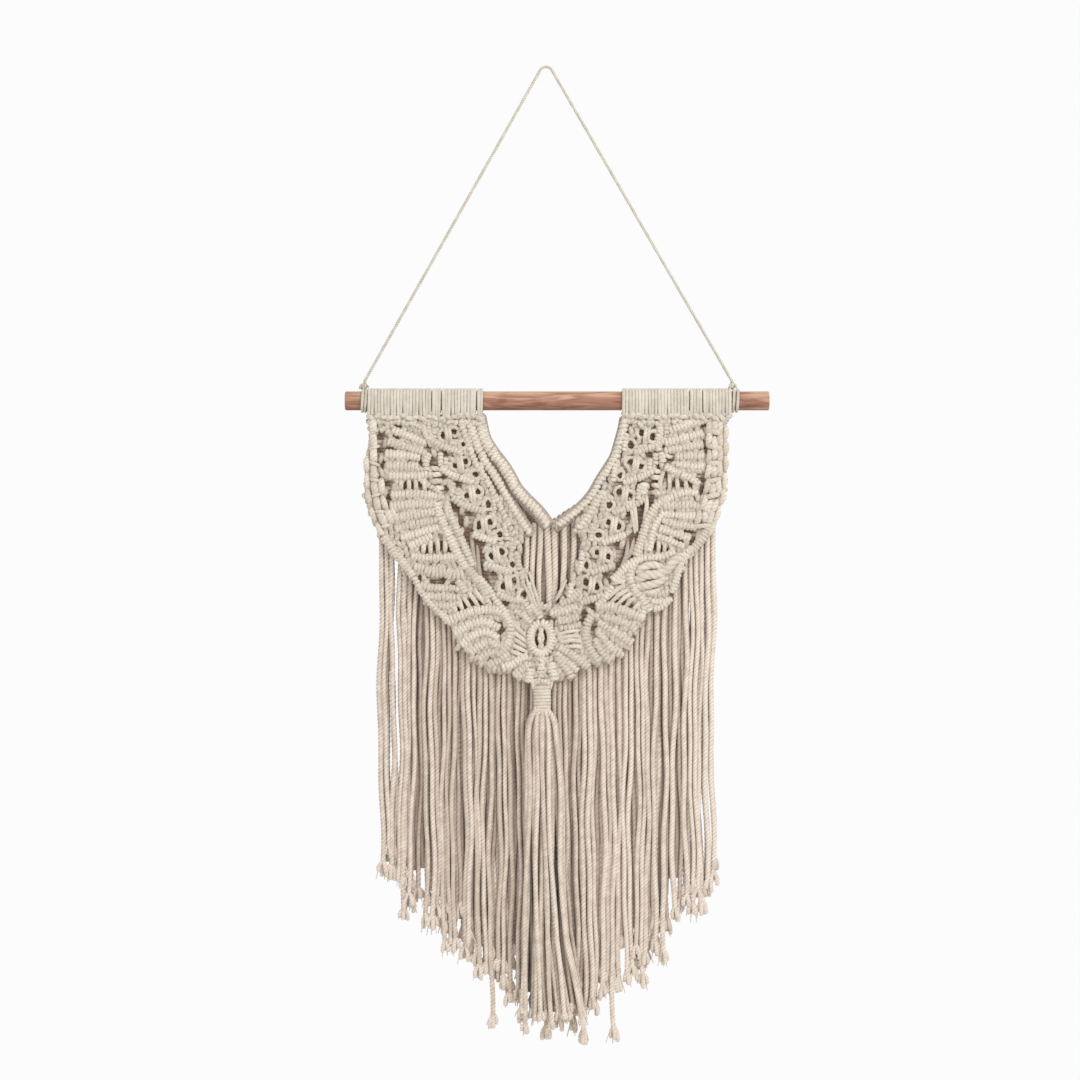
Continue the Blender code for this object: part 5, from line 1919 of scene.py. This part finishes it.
RIGHT_PANEL = Panel(
    side=Side.RIGHT,
    edge=(
        (132.3, 12.6), (132.3, 30.5), (132.3, 46.1), (131.5, 61.6), (130.0, 74.9), (126.1, 86.5),
        (121.4, 99.0), (116.7, 109.1),
    ),
    outer=(
        (141.7, 13.4), (143.2, 38.3), (142.4, 61.6), (140.1, 74.9), (135.4, 88.9), (130.0, 102.1),
        (119.9, 113.0), (112.1, 123.9), (102.7, 139.5), (97.3, 153.5), (82.5, 163.6), (75.5, 172.2),
        (68.5, 186.2), (60.7, 197.8), (42.0, 204.8), (26.5, 209.5),
    ),
    inner=(
        (65.4, 13.4), (59.2, 38.3), (44.4, 64.8), (28.0, 83.4), (21.0, 94.3), (22.6, 103.7), (26.5, 112.2),
        (24.9, 117.7), (20.2, 131.7), (13.2, 148.8), (4.7, 166.7), (7.8, 186.2), (10.9, 201.7),
        (10.9, 209.5),
    ),
    rows=(
        Row(((119.9, 15.7), (109.0, 18.1), (95.0, 23.5)), (4.6, 4.2)),
        Row(((122.2, 25.1), (110.5, 28.2), (91.8, 32.8)), (3.9, 4.0)),
        Row(((122.2, 33.6), (110.5, 36.0), (92.6, 39.1)), (4.0, 3.4)),
        Row(((123.0, 43.0), (112.1, 43.0), (100.4, 43.7)), (4.1, 3.8)),
        Row(((123.0, 51.5), (112.1, 50.7), (101.2, 49.2)), (4.2, 3.2)),
        Row(((119.1, 65.5), (113.6, 60.9), (102.7, 56.2), (91.8, 50.7)), (3.4, 3.8)),
        Row(((118.3, 71.8), (109.0, 71.0), (99.6, 74.1), (89.5, 78.0)), (3.6, 3.8)),
        Row(((122.2, 82.7), (109.0, 81.1), (91.8, 82.7)), (3.9, 3.8)),
        Row(((122.2, 89.7), (109.0, 89.7), (91.1, 88.1)), (4.0, 3.8)),
        Row(((117.5, 98.2), (105.8, 96.7), (91.1, 93.6)), (3.8, 3.6)),
        Row(((112.1, 106.8), (101.2, 103.7), (88.7, 99.8)), (3.6, 3.4)),
        Row(((107.4, 113.8), (96.5, 109.1), (85.6, 105.2)), (3.4, 3.2)),
        Row(((91.8, 76.4), (84.1, 83.4), (78.6, 93.6), (74.7, 106.8), (70.0, 120.8)), (3.6, 4.0), 0.5),
        Row(((91.8, 86.5), (86.4, 94.3), (82.5, 103.7), (80.2, 116.1)), (3.2, 3.2), 0.2),
        Row(((100.4, 117.7), (89.5, 121.6), (79.4, 122.3), (71.6, 123.9)), (3.6, 3.6)),
        Row(((68.5, 126.2), (65.4, 135.6), (68.5, 145.7), (75.5, 155.0), (80.9, 162.8)), (4.2, 3.8), 0.4),
        Row(((52.1, 140.2), (58.4, 133.2), (66.2, 127.0), (73.9, 122.3)), (4.2, 4.4), 0.3),
        Row(((78.6, 148.8), (86.4, 150.4), (95.0, 148.8)), (3.6, 3.8)),
        Row(((81.7, 155.8), (88.7, 156.6), (95.0, 155.0)), (3.0, 3.2)),
        Row(((113.6, 114.6), (107.4, 120.8), (103.5, 128.6)), (3.8, 3.6)),
        Row(((104.3, 128.6), (101.2, 137.9), (98.1, 148.8)), (3.4, 3.4)),
        Row(((38.9, 160.5), (51.4, 160.5), (63.8, 164.4), (76.3, 169.8)), (4.0, 4.2)),
        Row(((44.4, 168.3), (54.5, 170.6), (63.8, 173.7), (70.8, 179.2)), (3.4, 4.2)),
        Row(((40.5, 172.2), (49.8, 177.6), (59.2, 183.8), (66.2, 188.5)), (3.2, 4.2)),
        Row(((39.7, 179.2), (45.1, 185.4), (52.1, 193.2), (59.2, 197.1)), (3.0, 4.0)),
        Row(((37.4, 184.6), (41.2, 192.4), (46.7, 199.4), (51.4, 202.5)), (2.8, 3.8)),
        Row(((36.6, 165.2), (31.9, 173.7), (31.1, 184.6), (35.0, 194.7), (42.0, 203.3)), (3.8, 3.8), 0.4),
        Row(((130.0, 90.4), (124.5, 100.6), (118.3, 110.7), (112.1, 117.7)), (4.4, 4.0)),
        Row(((97.3, 153.5), (90.3, 159.7), (82.5, 162.8)), (3.2, 3.0)),
        Row(((88.7, 14.2), (88.7, 22.7), (87.2, 31.3), (87.9, 39.8)), (3.6, 3.4)),
        Row(((89.5, 39.8), (91.1, 47.6)), (3.4, 3.2)),
        Row(((101.2, 13.4), (112.1, 11.8)), (2.8, 2.8)),
        Row(((51.4, 144.1), (46.7, 151.9), (40.5, 158.9)), (3.6, 3.4)),
        Row(((77.1, 159.7), (74.7, 167.5)), (3.4, 3.2)),
    ),
    strands=(
        Strand(((91.8, 53.9), (88.7, 63.2), (89.5, 74.1)), 2.1),
        Strand(((95.7, 55.4), (95.7, 73.3)), 1.8),
        Strand(((101.6, 59.3), (102.0, 72.5)), 1.9),
        Strand(((108.2, 60.9), (109.0, 71.8)), 1.9),
        Strand(((115.2, 64.8), (115.2, 72.5)), 2.0),
        Strand(((81.7, 53.9), (88.7, 55.4)), 2.2),
        Strand(((81.7, 59.3), (89.5, 60.1)), 2.3),
        Strand(((82.5, 65.5), (89.5, 66.3)), 2.2),
        Strand(((82.5, 71.0), (89.5, 72.5)), 2.2),
        Strand(((91.8, 39.1), (94.2, 43.0), (98.1, 43.7)), 1.8),
        Strand(((73.2, 67.1), (77.8, 66.3)), 3.2, 1.2),
        Strand(((73.2, 71.0), (77.8, 70.2)), 2.8, 1.0),
        Strand(((77.8, 72.5), (78.2, 81.9), (76.3, 93.6)), 1.9, 0.6),
        Strand(((67.7, 74.1), (69.3, 86.5), (70.8, 101.3)), 1.7, 0.4),
        Strand(((64.6, 75.7), (66.9, 88.1), (69.3, 102.9)), 1.5, 0.2),
        Strand(((77.1, 105.2), (77.8, 118.5)), 2.1),
        Strand(((82.5, 106.0), (80.9, 118.5)), 2.0),
        Strand(((87.2, 107.6), (87.2, 118.5)), 1.8),
        Strand(((91.8, 109.9), (91.8, 118.5)), 1.7),
        Strand(((97.3, 112.2), (97.3, 118.5)), 2.0),
        Strand(((71.6, 134.0), (76.3, 129.4), (83.3, 127.8), (90.3, 130.1)), 3.3, 1.6),
        Strand(
            ((70.8, 139.5), (77.8, 135.6), (86.4, 134.8), (94.2, 130.9), (99.6, 124.7), (105.8, 120.8)),
            3.8, 2.2,
        ),
        Strand(((71.6, 144.1), (79.4, 143.4), (87.2, 141.0), (93.4, 136.4)), 3.3, 1.6),
        Strand(((74.7, 148.0), (82.5, 148.8), (90.3, 145.7)), 2.6, 0.3),
        Strand(((98.1, 136.4), (102.0, 130.1), (106.6, 124.7)), 2.6, 0.6),
        Strand(((63.8, 109.1), (62.3, 120.8), (56.8, 133.2)), 1.9, -1.2, 0.4),
        Strand(((68.5, 106.8), (66.2, 116.9), (60.7, 126.2)), 1.9, -1.2, 0.35),
        Strand(((46.7, 155.0), (54.5, 147.3), (63.0, 141.8)), 1.9, 0.3),
        Strand(((49.8, 157.4), (57.6, 150.4), (66.2, 145.7)), 1.9, 0.4),
        Strand(((54.5, 159.7), (61.5, 152.7), (68.5, 148.8)), 1.8, 0.4),
        Strand(((60.7, 161.3), (66.2, 155.0), (71.6, 152.7)), 1.8, 0.3),
        Strand(((66.9, 163.6), (71.6, 158.2), (75.5, 155.8)), 2.0, 0.2),
        Strand(((50.6, 142.6), (56.0, 141.0), (63.8, 139.5)), 2.0),
    ),
    holes=(
        (122.2, 18.8), (123.0, 36.0), (122.2, 61.6), (122.2, 70.2), (95.7, 45.3), (86.4, 46.1),
        (86.4, 50.7), (82.5, 55.4),
        (93.4, 57.7), (99.6, 64.8), (105.1, 64.8), (112.1, 64.8), (87.9, 63.2), (82.5, 67.1), (73.2, 75.7),
        (73.2, 81.9),
        (73.2, 88.1), (73.2, 93.6), (73.9, 99.0), (81.7, 77.2), (81.7, 82.7), (89.5, 92.8), (112.9, 101.3),
        (109.0, 101.3),
        (104.3, 110.7), (84.8, 113.0), (89.5, 115.3), (94.2, 117.7), (70.0, 136.4), (70.0, 141.8),
        (85.6, 126.2), (66.9, 113.0),
        (68.5, 108.3), (65.4, 118.5), (62.3, 122.3), (59.9, 127.8), (56.0, 132.5), (52.9, 137.1),
        (61.5, 116.9), (70.0, 103.7),
        (64.6, 113.0), (68.5, 114.6), (63.0, 125.5), (59.2, 123.9), (56.0, 127.8), (66.9, 109.1),
        (52.1, 139.5), (65.4, 123.9),
        (55.3, 156.6), (60.7, 158.2), (66.2, 160.5), (36.6, 176.8), (38.1, 147.3), (36.6, 155.0),
        (35.8, 158.9), (29.6, 165.2),
        (27.2, 170.6), (113.6, 109.1),
    ),
    head=(60.0, 140.5),
    lattice_start=(78.3, 26.2),
    lattice_step=(-8.56, 23.35),
    columns=((-5.6, 2.5, 0), (-1.4, 2.7, 0), (2.8, 2.5, 0)),
    stagger=1.0,
    cross=(-1.0, 5.7),
    loops_from=0,
    loop=7.2,
    collars=(
        (
            (61.5, 14.2), (59.9, 22.7), (56.8, 33.6), (53.7, 43.7), (47.5, 53.9), (42.0, 62.4),
            (35.8, 73.3), (26.5, 83.4), (14.8, 92.8), (7.0, 98.2),
        ),
        ((44.4, 70.2), (38.1, 81.1), (31.1, 91.2), (24.1, 100.6)),
    ),
    collar_halves=(3.6, 4.2),
)

CENTRE = Centre(
    rows=(
        Row(((-34.2, 208.0), (-26.5, 204.8), (-19.5, 200.2), (-14.0, 198.6)), (3.8, 3.8)),
        Row(((-24.9, 214.2), (-18.7, 208.7), (-12.5, 204.8)), (3.8, 3.6)),
        Row(((-12.5, 208.0), (-13.2, 218.9)), (4.2, 3.8), 0.5),
        Row(((-3.9, 204.1), (-3.9, 216.5)), (3.8, 3.8), 0.6),
        Row(((3.9, 203.3), (6.2, 217.3)), (4.4, 4.0), 0.6),
        Row(((8.6, 199.4), (16.3, 208.7), (20.2, 215.7)), (4.0, 3.8), 0.4),
        Row(((10.1, 191.6), (20.2, 197.8), (29.6, 204.8), (34.2, 208.0)), (4.0, 3.6), 0.5),
        Row(((7.8, 195.5), (15.6, 202.5), (24.1, 209.5)), (3.4, 3.4), 0.2),
        Row(((-38.1, 197.8), (-31.1, 193.2), (-26.5, 186.2)), (3.2, 3.2)),
        Row(((10.9, 158.2), (18.7, 155.0), (26.5, 147.3)), (3.4, 3.4)),
        Row(((3.1, 164.4), (12.5, 164.4), (23.3, 159.7)), (3.4, 3.4)),
        Row(((9.3, 172.2), (17.1, 170.6), (25.7, 167.5)), (3.4, 3.4)),
        Row(((10.9, 176.8), (18.7, 176.1), (27.2, 173.7)), (2.8, 2.8)),
        Row(((-12.5, 158.2), (-7.8, 164.4), (-3.9, 169.0)), (3.2, 3.2)),
        Row(((-24.9, 162.8), (-17.1, 167.5), (-10.9, 173.7)), (3.0, 3.0)),
        Row(((-23.3, 152.7), (-16.3, 157.4), (-11.7, 164.4)), (3.2, 3.2)),
    ),
    strands=(
        Strand(((-27.2, 172.2), (-20.2, 178.4), (-14.8, 184.6)), 1.9, 0.3),
        Strand(((-27.2, 177.6), (-21.0, 183.1), (-14.0, 188.5)), 1.9, 0.2),
        Strand(((-27.2, 183.1), (-21.0, 187.7), (-14.0, 192.4)), 1.8, 0.1),
        Strand(((-28.0, 188.5), (-21.0, 192.4), (-12.5, 196.3)), 1.8, 0.1),
        Strand(((-29.6, 194.0), (-22.6, 196.3), (-11.7, 201.0)), 1.9, 0.1),
        Strand(((27.2, 178.4), (18.7, 179.2), (8.6, 181.5)), 1.6, 0.4),
        Strand(((28.0, 183.1), (18.7, 183.1), (8.6, 185.4)), 1.8, 0.3),
        Strand(((29.6, 187.7), (19.5, 186.2), (8.6, 189.3)), 1.9, 0.3),
        Strand(((31.1, 192.4), (21.0, 190.8), (10.1, 193.2)), 1.8, 0.1),
        Strand(((-9.3, 198.6), (-3.9, 201.7), (0.0, 208.0)), 1.8, 0.3),
        Strand(((-10.1, 194.7), (-3.9, 198.6), (1.6, 203.3)), 1.8, 0.5),
        Strand(((-19.5, 137.9), (-13.2, 151.1), (-7.8, 164.4)), 1.4, 0.2),
        Strand(((-16.3, 134.8), (-10.9, 150.4), (-5.4, 165.9)), 1.4, 0.4),
        Strand(((-13.2, 133.2), (-7.8, 150.4), (-3.9, 165.2)), 1.4, 0.2),
        Strand(((15.6, 139.5), (11.7, 147.3), (7.8, 155.0)), 1.6, 0.3),
    ),
    holes=(
        (-20.2, 188.5), (-21.8, 186.2), (-17.9, 190.8), (-23.3, 194.0), (-26.5, 190.8), (-3.9, 173.7),
        (-7.8, 186.2), (0.0, 192.4),
        (-0.8, 178.4), (-7.0, 194.0), (21.0, 181.5), (22.6, 186.2), (19.5, 188.5), (21.8, 193.2),
        (-21.0, 188.5), (-23.3, 190.8),
        (-17.9, 186.2), (-25.7, 194.0), (-15.6, 197.8), (-22.6, 166.7), (-19.5, 169.0), (-17.9, 181.5),
        (26.5, 181.5), (24.1, 192.4),
        (27.2, 192.4), (2.3, 169.0), (7.8, 172.2), (-3.9, 177.6), (0.8, 183.8), (-4.7, 190.1), (16.3, 176.8),
    ),
)

LEFT_FRINGE = Fringe(
    side=Side.LEFT,
    line=(
        (-131.0, 84.0), (-119.9, 101.4), (-105.8, 120.9), (-94.2, 140.4), (-77.1, 163.7), (-64.6, 183.2),
        (-52.9, 198.7), (-34.0, 208.3), (-2.0, 216.0),
    ),
    back_line=((-88.0, 18.0), (-59.0, 18.0), (-43.0, 43.6), (-23.9, 75.4), (-1.0, 100.0)),
    neck_line=((-28.0, 84.0), (-14.0, 96.0), (-1.0, 98.0)),
    long=((-42.8, 478.0),),
    gap=(-123.5, -117.5),
    painted_light_shift=(0.1, -0.7),
)
RIGHT_FRINGE = Fringe(
    side=Side.RIGHT,
    line=(
        (-1.0, 216.0), (44.0, 200.3), (59.2, 190.4), (72.0, 173.8), (87.2, 154.4), (99.8, 136.5),
        (106.8, 114.9), (121.4, 95.2), (128.5, 76.0), (130.5, 73.0),
    ),
    back_line=((-2.2, 100.0), (30.6, 78.0), (50.0, 60.0), (61.0, 35.0), (67.0, 18.0), (90.0, 18.0)),
    neck_line=((-1.0, 98.0), (10.0, 93.0), (26.0, 92.0)),
    long=((49.0, 488.0), (77.0, 447.0), (88.7, 436.0)),
    # Painted light: the right half's front strands carry less painted shade on their sides
    front=Curtain(3.3, 0.0, loose=1.25, lay=LIT_STRAND),
    painted_light_shift=(-0.6, 1.8),
)


LEFT_HEADING = Heading(
    Side.LEFT, (-138.5, -49.0), gaps={19: -0.4, 20: 0.4, 22: -0.35, 23: 0.35, 33: -0.45, 34: 0.35}
)
RIGHT_HEADING = Heading(Side.RIGHT, (59.2, 144.0), wraps=34, gaps={20: -0.5, 21: 0.3, 24: -0.4, 25: 0.3})

# Loose strands: the twist shows in full, with soft warm highlights
STRAND_COTTON = CottonCord()
# The same cord hitched tight: greyer and smoother, because its plies are pressed flat
KNOTTED_COTTON = CottonCord(
    name="knotted_twisted_cotton", light="#E1D8CA", dark="#CDC2B2", groove_share=0.32
)
# The same cord drawn over the dowel in even folds: the flattest and palest, with hardly any relief
FOLDED_COTTON = CottonCord(
    name="folded_twisted_cotton", light="#DAD2C5", dark="#C8C0B2", groove_share=0.3, relief=0.3
)
# The thin hanging cord, hard-twisted: a little greener, with sharp grooves of painted shade
THIN_COTTON = CottonCord(
    name="thin_twisted_cotton", light="#D9D3C4", dark="#C2BAA8", groove="#938871"
)


def finish_dowel() -> None:
    """Gives the dowel's own shape, which shows as it is, its wood."""
    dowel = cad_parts["dowel"]
    wood = DowelWood().build()
    if dowel.material_slots:
        dowel.material_slots[0].material = wood
    else:
        dowel.data.materials.append(wood)


def main() -> None:
    """Builds the hanging and its studio."""
    logging.basicConfig(level=logging.INFO, format="%(name)s: %(message)s")
    studio = Studio()
    studio.build_camera()
    finishes = (STRAND_COTTON, KNOTTED_COTTON, FOLDED_COTTON, THIN_COTTON)
    cotton, knotted, folded, thin = (finish.build() for finish in finishes)
    cord = HangingCord()
    cord.build_cord(thin)
    for side in Side:
        cord.build_hitch(side, thin)
    studio.build_lights()
    studio.build_floor(FloorPaint().build())
    finish_dowel()
    for heading in (LEFT_HEADING, RIGHT_HEADING):
        heading.build(folded)
    for knotwork in (LEFT_PANEL, RIGHT_PANEL, CENTRE):
        knotwork.build(knotted)
    for fringe in (LEFT_FRINGE, RIGHT_FRINGE):
        fringe.build(cotton)
    Tassel().build(cotton, knotted)


if __name__ == "__main__":
    main()
